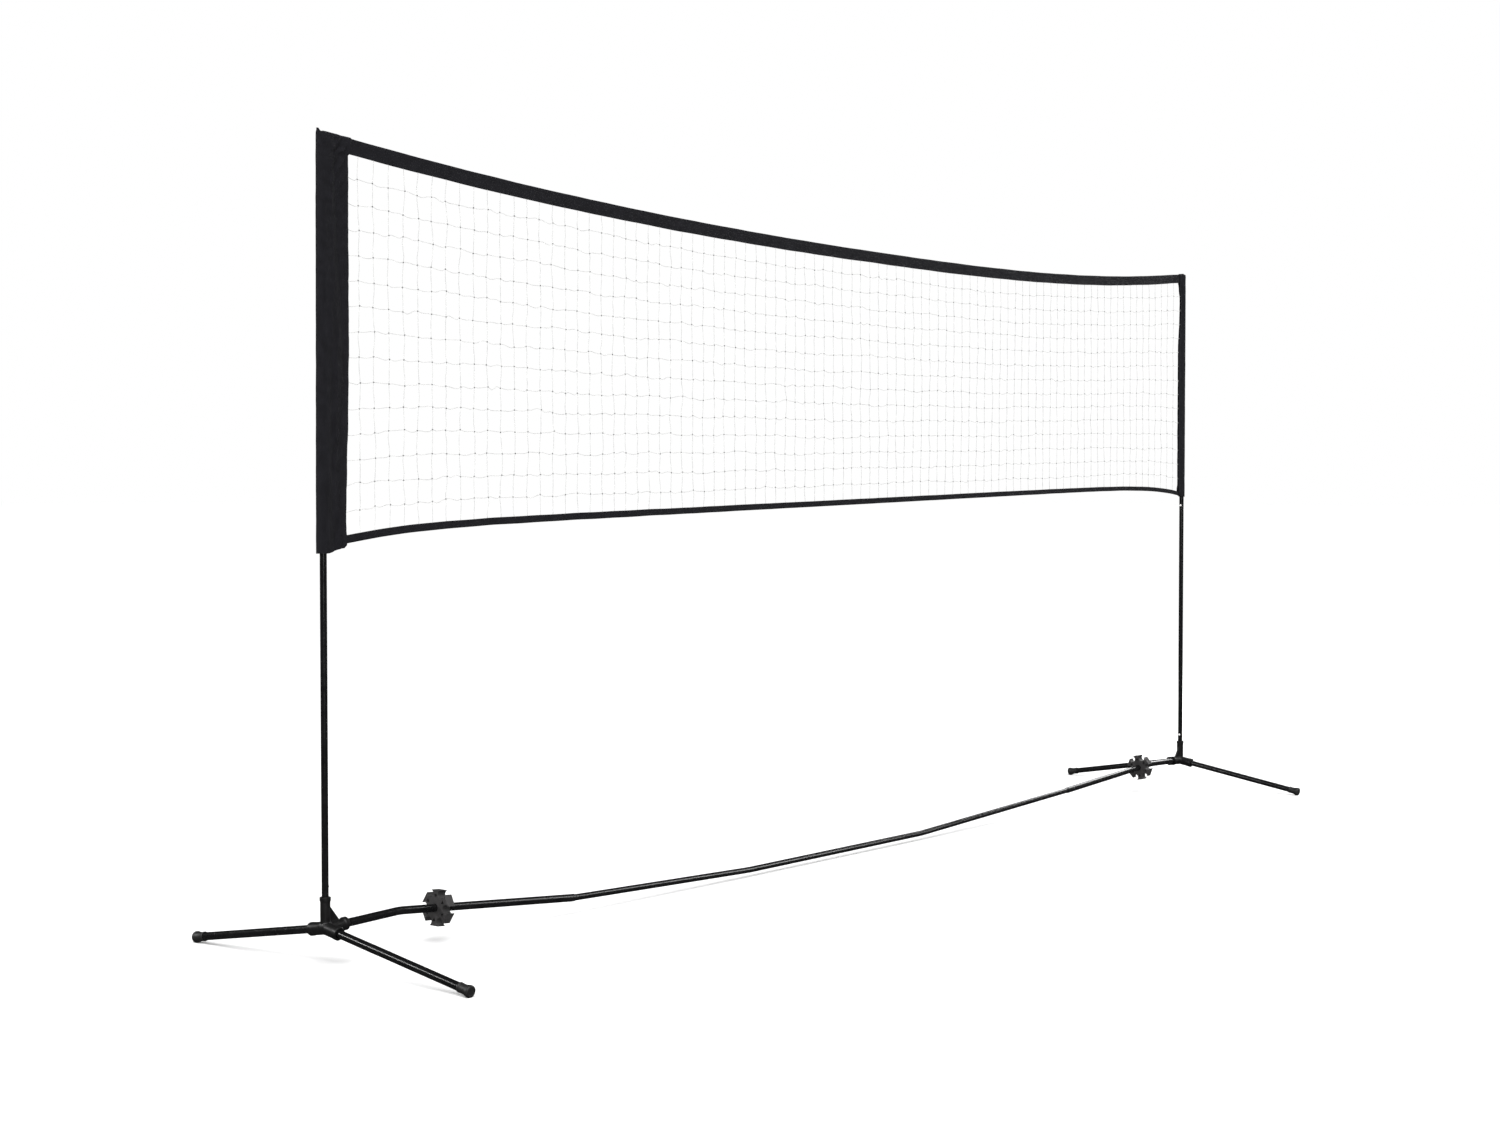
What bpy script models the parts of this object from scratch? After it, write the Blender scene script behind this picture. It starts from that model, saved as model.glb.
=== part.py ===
"""A portable badminton net.

A knotted string net bound in fabric hangs between two poles. Each pole is two tubes that plug
together and onto a moulded hub, which also holds two sloping legs and one end of a jointed bar
along the floor. Spring buttons lock the tubes, and a notched clip on each end of the bar holds
the tubes together when the net is packed away.

+X runs along the net, +Y away from the front legs, +Z up. The origin is on the floor, midway
between the poles.
"""

import math

import bmesh
import bpy
import numpy as np
from mathutils import Matrix, Vector

# Overall sizes, in metres
SPAN = 3.36  # pole axis to pole axis
POLE_TOP = 1.545  # floor to the top of a pole cap
HUB_HEIGHT = 0.076  # floor to the point where a hub's sockets meet
LEG_LENGTH = 0.3935  # that point to the end face of a foot cap, along the leg

# Fits
GAP = 0.0003  # between pieces that touch
BUTTON_GAP = 0.0003  # between a button and its holes, on the radius
SIDES = 20  # facets round a tube
SMALL_SIDES = 14  # facets round a button

# Poles
POLE_RADIUS = 0.0065
POLE_WALL = 0.0008
POLE_JOINT = 0.838  # floor to the joint between a lower and an upper tube
PLUG_LENGTH = 0.055  # of the narrowed top end of a lower tube
TAPER_LENGTH = 0.004  # from the full width of the tube down to the plug
CAP_HEAD = 0.004  # thickness of a pole cap's head
CAP_STEM = 0.014  # how far its stem reaches into the tube

# Buttons, which all face the other pole
BUTTON_RADIUS = 0.0032
BUTTON_PROUD = 0.0026  # how far a button stands out of the outer tube
BUTTON_ROOT = 0.0026  # pole axis to the inner end of a button
BUTTON_DOME = 0.0016  # height of its rounded tip
HUB_BUTTON_RISE = 0.020  # hub rim to button
POLE_BUTTON_RISE = 0.014  # pole joint to button
SPRING_WIDTH = 0.0050
SPRING_THICKNESS = 0.0005
SPRING_DROP = 0.030  # button to the fold of its spring
SPRING_TAIL = 0.008  # how far the spring's free ends reach past the button
SPRING_BACK = 0.0027  # pole axis to the outer face of the arm that bears on the tube

# Hubs
RIM_RISE = 0.058  # socket meeting point to the rim of the upright socket
STUB_FLOOR = 0.0015  # plastic left under the foot of the stub
STUB_HOLD = 0.0135  # foot of the stub to the step that the pole stands on
STUB_PROUD = 0.058  # stub above the rim
UPRIGHT_WALL = 0.0027
RIM_LIP = 0.0008  # how far the rim stands out of the upright socket
RIM_HEIGHT = 0.007
ARM_WALL = 0.0025
COLLAR_LIP = 0.0020  # how far a collar stands out of its arm
COLLAR_LENGTH = 0.008
LEG_ARM = 0.040  # socket meeting point to the mouth of a leg socket
BAR_ARM = 0.055  # to the mouth of the bar socket
SOCKET_FLOOR = 0.016  # to the floors of the leg and bar sockets
ARM_OVERLAP = 0.004  # how far each arm starts behind the meeting point
WEB_THICKNESS = 0.004
WEB_TOP = 0.036  # rise of the web's tip on the upright socket
WEB_REACH = 0.038  # how far the web runs out over the bar socket

# Legs and feet
BASE_TUBE_RADIUS = 0.008  # legs and bar ends
BASE_TUBE_WALL = 0.0009
FOOT_LENGTH = 0.030
FOOT_WALL = 0.0009
FOOT_FLARE = 0.0035  # how much wider the foot is than the leg, on the radius
FOOT_END = 0.005  # thickness of the foot cap's end
FOOT_FLAT = 0.0010  # depth of the flat that the foot rests on

# Bar along the floor
BAR_WALL = 0.0009
BAR_PLUG = 0.040  # how far each tube reaches into the next
END_BEND = 0.185  # pole axis to the bend of an end tube
END_TUBE = 0.672  # pole axis to the open end of an end tube
JOINT_SHARES = (0.375, 0.585)  # places of the middle joints along the span
BEND_RISE = 0.0055  # the bends above the hub sockets
JOINT_HEIGHTS = (0.037, 0.0175, 0.0185, 0.0526)  # floor to the bar's axis at its four joints
BEND_HALF = 0.030  # half the length of each rounded bend

# Storage clips
CLIP_THICKNESS = 0.020
NOTCHES = 6
NOTCH_SLACK = 0.0008  # between a stored tube and the notch, on the radius
LOBE_NECK = 0.0134  # narrowest width of a lobe
NOTCH_GRIP = 0.0012  # how much narrower a notch's mouth is than its tube, on each side
NOTCH_STEPS = 10
CLIP_OFFSETS = (0.071, 0.035)  # left and right, end of the bend to the clip's middle
CLIP_TURNS = (math.radians(30), math.radians(40))

# Net
FABRIC = 0.0010  # thickness of a sleeve's wall
SLEEVE_SLACK = 0.0010  # between a pole and its sleeve, on the radius
SLEEVE_EDGE = 0.0016  # radius of the sleeve's inner edge
SLEEVE_REACHES = (0.056, 0.025)  # left and right, pole axis to the sleeve's inner edge
SLEEVE_LENGTHS = (0.770, 0.670)
SLEEVE_TOP_GAP = 0.002  # pole cap to the sleeve's closed top
TOP_BAND = 0.028
BOTTOM_BAND = 0.012
BAND_THICKNESS = 0.0030
MESH_THICKNESS = 0.0012
NET_DEPTHS = (0.766, 0.668)  # top edge to bottom edge at the two poles
TOP_SAG = 0.0635
TOP_SAG_PLACE = 0.54  # lowest place of the top edge, as a share of the span
TOP_SAG_POWER = 2.3
BOTTOM_RISE = 0.030
BOTTOM_RISE_POWER = 10
NET_STEPS = 28

# Sizes that follow
STUB_RADIUS = POLE_RADIUS - POLE_WALL - GAP
STUB_BORE = STUB_RADIUS - POLE_WALL
BAR_RADIUS = BASE_TUBE_RADIUS - BASE_TUBE_WALL - GAP
BAR_PLUG_RADIUS = BAR_RADIUS - BAR_WALL - GAP
SOCKET_RADIUS = BASE_TUBE_RADIUS + GAP
FOOT_RADIUS = BASE_TUBE_RADIUS + FOOT_FLARE
LEG_SLOPE = math.asin(
    (HUB_HEIGHT + FOOT_FLAT) / math.hypot(LEG_LENGTH, FOOT_RADIUS)
) - math.atan2(FOOT_RADIUS, LEG_LENGTH)
UPRIGHT_RADIUS = POLE_RADIUS + GAP + UPRIGHT_WALL
ARM_RADIUS = SOCKET_RADIUS + ARM_WALL
STUB_RISE = ARM_RADIUS / math.cos(LEG_SLOPE) + STUB_FLOOR  # meeting point to the stub's foot
SEAT_RISE = STUB_RISE + STUB_HOLD
POLE_FOOT = HUB_HEIGHT + SEAT_RISE + GAP
RIM = HUB_HEIGHT + RIM_RISE
NOTCH_RADIUS = BASE_TUBE_RADIUS + NOTCH_SLACK
NOTCH_CENTRE = 2 * NOTCH_RADIUS + LOBE_NECK  # bar axis to the axis of a stored tube
NOTCH_MOUTH = BASE_TUBE_RADIUS - NOTCH_GRIP  # half the width of a notch's mouth
NET_TOP = POLE_TOP + SLEEVE_TOP_GAP + FABRIC  # top of the sleeves and ends of the top band

# The two ends are alike but for a half turn about Z: name, place along X, turn
ENDS = (("left", -SPAN / 2, 0.0), ("right", SPAN / 2, math.pi))
LEGS = (("front", -1), ("rear", 1))


def material(name, colour, roughness, metallic=0.0):
    """A Principled material."""
    made = bpy.data.materials.new(name)
    made.use_nodes = True
    shader = made.node_tree.nodes["Principled BSDF"]
    shader.inputs["Base Color"].default_value = (*colour, 1.0)
    shader.inputs["Roughness"].default_value = roughness
    shader.inputs["Metallic"].default_value = metallic
    made.diffuse_color = (*colour, 1.0)
    return made


def add_object(name, shape, finish, matrix=None):
    """An object from a bmesh, with its faces pointing out and its round faces smooth."""
    bmesh.ops.recalc_face_normals(shape, faces=shape.faces)
    mesh = bpy.data.meshes.new(name)
    shape.to_mesh(mesh)
    shape.free()
    mesh.shade_smooth()
    mesh.set_sharp_from_angle(angle=math.radians(35))
    mesh.materials.append(finish)
    made = bpy.data.objects.new(name, mesh)
    made.matrix_world = matrix or Matrix()
    bpy.context.scene.collection.objects.link(made)
    return made


def straight(along):
    """The centre and two cross directions of a ring on the local Z axis."""
    return Vector((0, 0, along)), Vector((1, 0, 0)), Vector((0, 1, 0))


def ringed(name, outline, finish, matrix=None, sides=SIDES, place=straight):
    """A round solid. outline lists (radius, distance along the axis), and a radius of 0 is a
    point. An outline that doesn't start on the axis closes on itself, which leaves a bore."""
    shape = bmesh.new()
    rings = []
    for radius, along in outline:
        centre, across, up = place(along)
        turns = [2 * math.pi * i / sides for i in range(sides)] if radius else [0.0]
        rings.append(
            [
                shape.verts.new(centre + radius * (math.cos(a) * across + math.sin(a) * up))
                for a in turns
            ]
        )
    for first, second in zip(rings, rings[1:] + rings[:1]):
        for i in range(sides):
            corners = [
                first[i % len(first)],
                first[(i + 1) % len(first)],
                second[(i + 1) % len(second)],
                second[i % len(second)],
            ]
            corners = list(dict.fromkeys(corners))
            if len(corners) > 2:
                shape.faces.new(corners)
    return add_object(name, shape, finish, matrix)


def tool(made):
    """Marks an object as a helper that only shapes others."""
    made.hide_render = True
    made.display_type = "WIRE"
    return made


def combine(target, other, operation):
    """Joins other to target, or cuts it away."""
    modifier = target.modifiers.new(f"{operation.lower()} {other.name}", "BOOLEAN")
    modifier.operation = operation
    modifier.solver = "EXACT"
    modifier.object = tool(other)


def end_matrix(x, turn, z=0.0):
    """The frame of one end: its origin on the pole axis, its +X towards the other pole."""
    return Matrix.Translation((x, 0, z)) @ Matrix.Rotation(turn, 4, "Z")


def bar_knots():
    """The corners of the bar's centreline as (x, z), before they are rounded. The first and
    the last lie past the hubs, so that the line runs straight through each bar socket."""
    places = (
        -END_BEND,
        END_BEND,
        END_TUBE,
        *(share * SPAN for share in JOINT_SHARES),
        SPAN - END_TUBE,
        SPAN - END_BEND,
        SPAN + END_BEND,
    )
    beyond, bend = HUB_HEIGHT - BEND_RISE, HUB_HEIGHT + BEND_RISE
    heights = (beyond, bend, *JOINT_HEIGHTS, bend, beyond)
    return [(place - SPAN / 2, height) for place, height in zip(places, heights)]


def bar_height(x):
    """Height of the bar's corner line at x."""
    knots = bar_knots()
    return float(np.interp(x, [k[0] for k in knots], [k[1] for k in knots]))


def bar_place(x):
    """The centre and two cross directions of the bar at x, with rounded corners."""
    window = np.linspace(-BEND_HALF, BEND_HALF, 25)
    height = float(np.mean([bar_height(x + w) for w in window]))
    slope = (bar_height(x + BEND_HALF) - bar_height(x - BEND_HALF)) / (2 * BEND_HALF)
    along = Vector((1, 0, slope)).normalized()
    return Vector((x, 0, height)), Vector((-along.z, 0, along.x)), Vector((0, 1, 0))


def bar_stations(start, end):
    """Places along the bar where a tube from start to end needs a ring."""
    steps = (-1, -0.5, 0, 0.5, 1)
    bends = [x + step * BEND_HALF for x, _ in bar_knots()[1:-1] for step in steps]
    margin = BEND_HALF / 10
    return [start, *(x for x in sorted(bends) if start + margin < x < end - margin), end]


def bar_tube(name, start, end, radius, wall, finish, plug=0.0):
    """A tube on the bar's line, with a narrowed end that reaches plug into the next tube."""
    outer = [(radius, x) for x in bar_stations(start, end)]
    inner = [(radius - wall, x) for x in bar_stations(start, end - 2 * TAPER_LENGTH * bool(plug))]
    if plug:
        bore = BAR_PLUG_RADIUS - wall
        outer += [(BAR_PLUG_RADIUS, x) for x in bar_stations(end, end + plug)]
        inner += [(bore, x) for x in bar_stations(end - TAPER_LENGTH, end + plug)]
    return ringed(name, outer + inner[::-1], finish, place=bar_place)


def hub(side, x, turn, finish):
    """The moulded four-way hub: upright socket, two leg sockets, bar socket and web."""
    frame = end_matrix(x, turn, HUB_HEIGHT)
    upright = [
        (0, 0),
        (UPRIGHT_RADIUS, 0),
        (UPRIGHT_RADIUS, RIM_RISE - RIM_HEIGHT),
        (UPRIGHT_RADIUS + RIM_LIP, RIM_RISE - RIM_HEIGHT + RIM_LIP),
        (UPRIGHT_RADIUS + RIM_LIP, RIM_RISE),
        (POLE_RADIUS + GAP, RIM_RISE),
        (POLE_RADIUS + GAP, SEAT_RISE),
        (STUB_RADIUS + GAP, SEAT_RISE),
        (STUB_RADIUS + GAP, STUB_RISE - GAP),
        (0, STUB_RISE - GAP),
    ]
    body = ringed(f"hub_{side}", upright, finish, frame)
    bar_rise = math.atan2(BEND_RISE, END_BEND)
    arms = [("bar", BAR_ARM, Matrix.Rotation(math.pi / 2 - bar_rise, 4, "Y"))]
    for leg, way in LEGS:
        tilt = -way * (math.pi / 2 + LEG_SLOPE)
        arms.append((leg, LEG_ARM, Matrix.Rotation(tilt, 4, "X")))
    for arm, mouth, direction in arms:
        outline = [
            (0, -ARM_OVERLAP),
            (ARM_RADIUS, -ARM_OVERLAP),
            (ARM_RADIUS, mouth - COLLAR_LENGTH - COLLAR_LIP),
            (ARM_RADIUS + COLLAR_LIP, mouth - COLLAR_LENGTH),
            (ARM_RADIUS + COLLAR_LIP, mouth),
            (SOCKET_RADIUS, mouth),
            (SOCKET_RADIUS, SOCKET_FLOOR),
            (0, SOCKET_FLOOR),
        ]
        piece = ringed(f"{arm}_socket_{side}", outline, finish, frame @ direction)
        combine(body, piece, "UNION")
    inside = UPRIGHT_RADIUS - UPRIGHT_WALL / 2
    web_foot = (SOCKET_RADIUS + ARM_RADIUS) / 2
    corners = [
        (inside, web_foot),
        (WEB_REACH - 0.004, web_foot),
        (WEB_REACH, ARM_RADIUS + WEB_REACH * math.tan(bar_rise)),
        (UPRIGHT_RADIUS, WEB_TOP),
        (inside, WEB_TOP),
    ]
    web = prism(f"web_{side}", corners, WEB_THICKNESS, finish)
    web.matrix_world = frame @ Matrix.Rotation(math.pi / 2, 4, "X")
    combine(body, web, "UNION")


def prism(name, corners, thickness, finish, hole=0.0, matrix=None):
    """A flat outline, thickened along local Z, with a round hole on the axis if asked."""
    shape = bmesh.new()
    for x, y in corners:
        shape.verts.new((x, y, -thickness / 2))
    shape.faces.new(shape.verts)
    grown = bmesh.ops.extrude_face_region(shape, geom=shape.faces[:])
    risen = [v for v in grown["geom"] if isinstance(v, bmesh.types.BMVert)]
    bmesh.ops.translate(shape, verts=risen, vec=(0, 0, thickness))
    made = add_object(name, shape, finish, matrix)
    if hole:
        long = thickness + 0.01
        outline = [(0, -long / 2), (hole, -long / 2), (hole, long / 2), (0, long / 2)]
        combine(made, ringed(f"{name}_bore", outline, finish, matrix), "DIFFERENCE")
    return made


def foot_outline():
    """The bell of a foot cap, with the hollow that the leg fits."""
    end, start = LEG_LENGTH, LEG_LENGTH - FOOT_LENGTH
    neck = SOCKET_RADIUS + FOOT_WALL
    return [
        (SOCKET_RADIUS, start),
        (neck, start),
        (neck, end - 0.016),
        (neck + 0.0006, end - 0.012),
        (FOOT_RADIUS, end - 0.007),
        (FOOT_RADIUS, end - 0.0012),
        (FOOT_RADIUS - 0.0012, end),
        (0, end),
        (0, end - FOOT_END),
        (SOCKET_RADIUS, end - FOOT_END),
    ]


def button(name, x, turn, z, finish):
    """A round-tipped button that points at the other pole."""
    tip = POLE_RADIUS + BUTTON_PROUD
    arcs = [math.radians(a) for a in (0, 30, 60)]
    outline = [(0, BUTTON_ROOT), (BUTTON_RADIUS, BUTTON_ROOT)]
    for a in arcs:
        height = tip - BUTTON_DOME + BUTTON_DOME * math.sin(a)
        outline.append((BUTTON_RADIUS * math.cos(a), height))
    outline.append((0, tip))
    matrix = end_matrix(x, turn, z) @ Matrix.Rotation(math.pi / 2, 4, "Y")
    ringed(name, outline, finish, matrix, sides=SMALL_SIDES)


def button_hole(tube, x, turn, z, deep):
    """Cuts the hole for a button through one wall of a tube."""
    radius = BUTTON_RADIUS + BUTTON_GAP
    outline = [(0, deep), (radius, deep), (radius, 0.02), (0, 0.02)]
    matrix = end_matrix(x, turn, z) @ Matrix.Rotation(math.pi / 2, 4, "Y")
    cutter = ringed(f"{tube.name}_hole", outline, tube.data.materials[0], matrix, SMALL_SIDES)
    combine(tube, cutter, "DIFFERENCE")


def spring(name, x, turn, z, finish):
    """A strip folded into a U: one arm carries the button, the other bears on the tube."""
    front = BUTTON_ROOT - GAP
    back = -SPRING_BACK
    middle = (front + back) / 2
    fold = (front - back) / 2
    arcs = [math.radians(180 + 30 * i) for i in range(7)]
    outer = [(middle + fold * math.cos(a), -SPRING_DROP + fold * math.sin(a)) for a in arcs]
    thin = fold - SPRING_THICKNESS
    inner = [(middle + thin * math.cos(a), -SPRING_DROP + thin * math.sin(a)) for a in arcs]
    outline = [
        (back, SPRING_TAIL),
        *outer,
        (front, SPRING_TAIL),
        (front - SPRING_THICKNESS, SPRING_TAIL),
        *inner[::-1],
        (back + SPRING_THICKNESS, SPRING_TAIL),
    ]
    matrix = end_matrix(x, turn, z) @ Matrix.Rotation(math.pi / 2, 4, "X")
    prism(name, outline, SPRING_WIDTH, finish, matrix=matrix)


def clip_outline():
    """Six notches round a disc. Straight edges join their mouths, so each lobe ends wide."""
    half = math.asin(NOTCH_MOUTH / NOTCH_RADIUS)
    corners = []
    for notch in range(NOTCHES):
        middle = 2 * math.pi * notch / NOTCHES
        for step in range(NOTCH_STEPS + 1):
            a = -half - (2 * math.pi - 2 * half) * step / NOTCH_STEPS
            across = NOTCH_CENTRE + NOTCH_RADIUS * math.cos(a)
            up = NOTCH_RADIUS * math.sin(a)
            turned = Vector((across, up)) @ Matrix.Rotation(-middle, 2)
            corners.append(tuple(turned))
    return corners


def storage_clip(side, finish):
    """A notched disc on the straight part of a bar end tube."""
    first = side == "left"
    offset, turn = (pair[0 if first else 1] for pair in (CLIP_OFFSETS, CLIP_TURNS))
    from_middle = SPAN / 2 - END_BEND - BEND_HALF - offset
    centre, up, _ = bar_place(-from_middle if first else from_middle)
    tilt = math.atan2(up.z, up.x)
    matrix = Matrix.Translation(centre) @ Matrix.Rotation(-tilt, 4, "Y")
    matrix = matrix @ Matrix.Rotation(turn, 4, "Z")
    prism(f"storage_clip_{side}", clip_outline(), CLIP_THICKNESS, finish, SOCKET_RADIUS, matrix)


def sock_outline(reach, shrink):
    """A circle round the pole drawn out to a thin edge at reach."""
    big = POLE_RADIUS + SLEEVE_SLACK + FABRIC - shrink
    small = SLEEVE_EDGE - shrink
    centre = reach - SLEEVE_EDGE
    lean = math.acos((big - small) / centre)
    around = [lean + (2 * math.pi - 2 * lean) * i / 12 for i in range(13)]
    edge = [-lean + 2 * lean * i / 4 for i in range(5)]
    corners = [(big * math.cos(a), big * math.sin(a)) for a in around]
    corners += [(centre + small * math.cos(a), small * math.sin(a)) for a in edge]
    return corners


def sleeve(side, x, turn, reach, length, finish):
    """A fabric sock, closed over the pole's top and open at the bottom."""
    bottom = NET_TOP - length
    shape = bmesh.new()
    levels = [(0.0, NET_TOP), (0.0, bottom), (FABRIC, bottom), (FABRIC, NET_TOP - FABRIC)]
    loops = [
        [shape.verts.new((*corner, z)) for corner in sock_outline(reach, shrink)]
        for shrink, z in levels
    ]
    count = len(loops[0])
    for first, second in zip(loops, loops[1:]):
        for i in range(count):
            j = (i + 1) % count
            shape.faces.new((first[i], first[j], second[j], second[i]))
    shape.faces.new(loops[0])
    shape.faces.new(loops[-1])
    add_object(f"sleeve_{side}", shape, finish, end_matrix(x, turn))


def top_edge(share):
    """Height of the top band's top edge, at a share of the span from the left pole."""
    half = TOP_SAG_PLACE if share < TOP_SAG_PLACE else 1 - TOP_SAG_PLACE
    return NET_TOP - TOP_SAG * (1 - abs((share - TOP_SAG_PLACE) / half) ** TOP_SAG_POWER)


def bottom_edge(share):
    """Height of the bottom band's bottom edge."""
    depth = NET_DEPTHS[0] + (NET_DEPTHS[1] - NET_DEPTHS[0]) * share
    return NET_TOP - depth + BOTTOM_RISE * (1 - abs(2 * share - 1) ** BOTTOM_RISE_POWER)


def curtain(name, upper, lower, thickness, finish):
    """A thin upright solid between the sleeves, from lower to upper at each place."""
    start = SLEEVE_REACHES[0] + GAP
    end = SPAN - SLEEVE_REACHES[1] - GAP
    shape = bmesh.new()
    rings = []
    for step in range(NET_STEPS + 1):
        x = start + (end - start) * (1 - math.cos(math.pi * step / NET_STEPS)) / 2
        share = x / SPAN
        corners = [
            (-thickness / 2, lower(share)),
            (thickness / 2, lower(share)),
            (thickness / 2, upper(share)),
            (-thickness / 2, upper(share)),
        ]
        rings.append([shape.verts.new((x - SPAN / 2, y, z)) for y, z in corners])
    for first, second in zip(rings, rings[1:]):
        for i in range(4):
            j = (i + 1) % 4
            shape.faces.new((first[i], first[j], second[j], second[i]))
    shape.faces.new(rings[0])
    shape.faces.new(rings[-1])
    add_object(name, shape, finish)


def build_base(plastic, steel, bright):
    """Hubs, stubs, legs, feet, bar and the buttons in the stubs."""
    floor_top = Matrix.Translation((0, 0, -0.05))
    floor = [(-SPAN, -1), (SPAN, -1), (SPAN, 1), (-SPAN, 1)]
    floor_cutter = prism("floor_cutter", floor, 0.1, plastic, matrix=floor_top)
    for side, x, turn in ENDS:
        hub(side, x, turn, plastic)
        low, high = HUB_HEIGHT + STUB_RISE, RIM + STUB_PROUD
        outline = [(STUB_RADIUS, low), (STUB_RADIUS, high), (STUB_BORE, high), (STUB_BORE, low)]
        stub = ringed(f"hub_stub_{side}", outline, steel, end_matrix(x, turn))
        height = RIM + HUB_BUTTON_RISE
        button_hole(stub, x, turn, height, 0)
        button(f"hub_button_{side}", x, turn, height, bright)
        spring(f"hub_spring_{side}", x, turn, height, bright)
        for leg, way in LEGS:
            tilt = Matrix.Rotation(-way * (math.pi / 2 + LEG_SLOPE), 4, "X")
            frame = end_matrix(x, 0, HUB_HEIGHT) @ tilt
            near, far = SOCKET_FLOOR + GAP, LEG_LENGTH - FOOT_END - GAP
            bore = BASE_TUBE_RADIUS - BASE_TUBE_WALL
            outline = [(BASE_TUBE_RADIUS, near), (BASE_TUBE_RADIUS, far), (bore, far), (bore, near)]
            ringed(f"leg_{side}_{leg}", outline, steel, frame)
            foot = ringed(f"foot_cap_{side}_{leg}", foot_outline(), plastic, frame)
            combine(foot, floor_cutter, "DIFFERENCE")


def build_bar(plastic, steel):
    """The five tubes along the floor and the clips on the two end tubes."""
    inner_end = SPAN / 2 - SOCKET_FLOOR - GAP
    joints = [x for x, _ in bar_knots()[2:-2]]
    ends = ((-inner_end, joints[0]), (joints[3], inner_end))
    for (side, _, _), (start, end) in zip(ENDS, ends):
        bar_tube(f"bar_end_{side}", start, end, BASE_TUBE_RADIUS, BASE_TUBE_WALL, steel)
        storage_clip(side, plastic)
    middles = (
        (joints[0] - BAR_PLUG, joints[1], BAR_PLUG),
        (joints[1] + GAP, joints[2], BAR_PLUG),
        (joints[2] + GAP, joints[3] + BAR_PLUG, 0.0),
    )
    for number, (start, end, plug) in enumerate(middles, 1):
        bar_tube(f"bar_middle_{number}", start, end, BAR_RADIUS, BAR_WALL, steel, plug)


def build_poles(plastic, steel, bright):
    """The tubes, caps and buttons above the hubs."""
    bore = POLE_RADIUS - POLE_WALL
    top = POLE_TOP - CAP_HEAD - GAP
    for side, x, turn in ENDS:
        frame = end_matrix(x, turn)
        lower = [
            (POLE_RADIUS, POLE_FOOT),
            (POLE_RADIUS, POLE_JOINT),
            (STUB_RADIUS, POLE_JOINT),
            (STUB_RADIUS, POLE_JOINT + PLUG_LENGTH),
            (STUB_BORE, POLE_JOINT + PLUG_LENGTH),
            (STUB_BORE, POLE_JOINT - TAPER_LENGTH),
            (bore, POLE_JOINT - 2 * TAPER_LENGTH),
            (bore, POLE_FOOT),
        ]
        tube = ringed(f"pole_lower_{side}", lower, steel, frame)
        button_hole(tube, x, turn, RIM + HUB_BUTTON_RISE, 0)
        button_hole(tube, x, turn, POLE_JOINT + POLE_BUTTON_RISE, 0)
        start = POLE_JOINT + GAP
        upper = [(POLE_RADIUS, start), (POLE_RADIUS, top), (bore, top), (bore, start)]
        tube = ringed(f"pole_upper_{side}", upper, steel, frame)
        button_hole(tube, x, turn, POLE_JOINT + POLE_BUTTON_RISE, 0)
        button(f"pole_button_{side}", x, turn, POLE_JOINT + POLE_BUTTON_RISE, bright)
        spring(f"pole_spring_{side}", x, turn, POLE_JOINT + POLE_BUTTON_RISE, bright)
        stem = bore - GAP
        cap = [
            (0, top - CAP_STEM),
            (stem, top - CAP_STEM),
            (stem, top + GAP),
            (POLE_RADIUS, top + GAP),
            (POLE_RADIUS, POLE_TOP - 0.001),
            (POLE_RADIUS - 0.001, POLE_TOP),
            (0, POLE_TOP),
        ]
        ringed(f"pole_cap_{side}", cap, plastic, frame)


def build_net(fabric, string):
    """Sleeves, bands and the string mesh between them."""
    for (side, x, turn), reach, length in zip(ENDS, SLEEVE_REACHES, SLEEVE_LENGTHS):
        sleeve(side, x, turn, reach, length, fabric)
    curtain("top_band", top_edge, lambda s: top_edge(s) - TOP_BAND, BAND_THICKNESS, fabric)
    curtain(
        "bottom_band", lambda s: bottom_edge(s) + BOTTOM_BAND, bottom_edge, BAND_THICKNESS, fabric
    )
    curtain(
        "net_mesh",
        lambda s: top_edge(s) - TOP_BAND - GAP,
        lambda s: bottom_edge(s) + BOTTOM_BAND + GAP,
        MESH_THICKNESS,
        string,
    )


for leftover in list(bpy.data.objects):
    bpy.data.objects.remove(leftover)

black_plastic = material("black_plastic", (0.012, 0.012, 0.013), 0.45)
clip_plastic = material("clip_plastic", (0.035, 0.031, 0.033), 0.55)
black_steel = material("black_steel", (0.008, 0.008, 0.009), 0.22)
bright_steel = material("bright_steel", (0.78, 0.78, 0.76), 0.2, 1.0)
black_fabric = material("black_fabric", (0.014, 0.014, 0.018), 0.9)
white_string = material("white_string", (0.75, 0.75, 0.74), 0.8)

build_base(black_plastic, black_steel, bright_steel)
build_bar(clip_plastic, black_steel)
build_poles(black_plastic, black_steel, bright_steel)
build_net(black_fabric, white_string)
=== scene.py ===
import math

import bpy
import numpy as np
from mathutils import Matrix, Vector, noise


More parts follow.
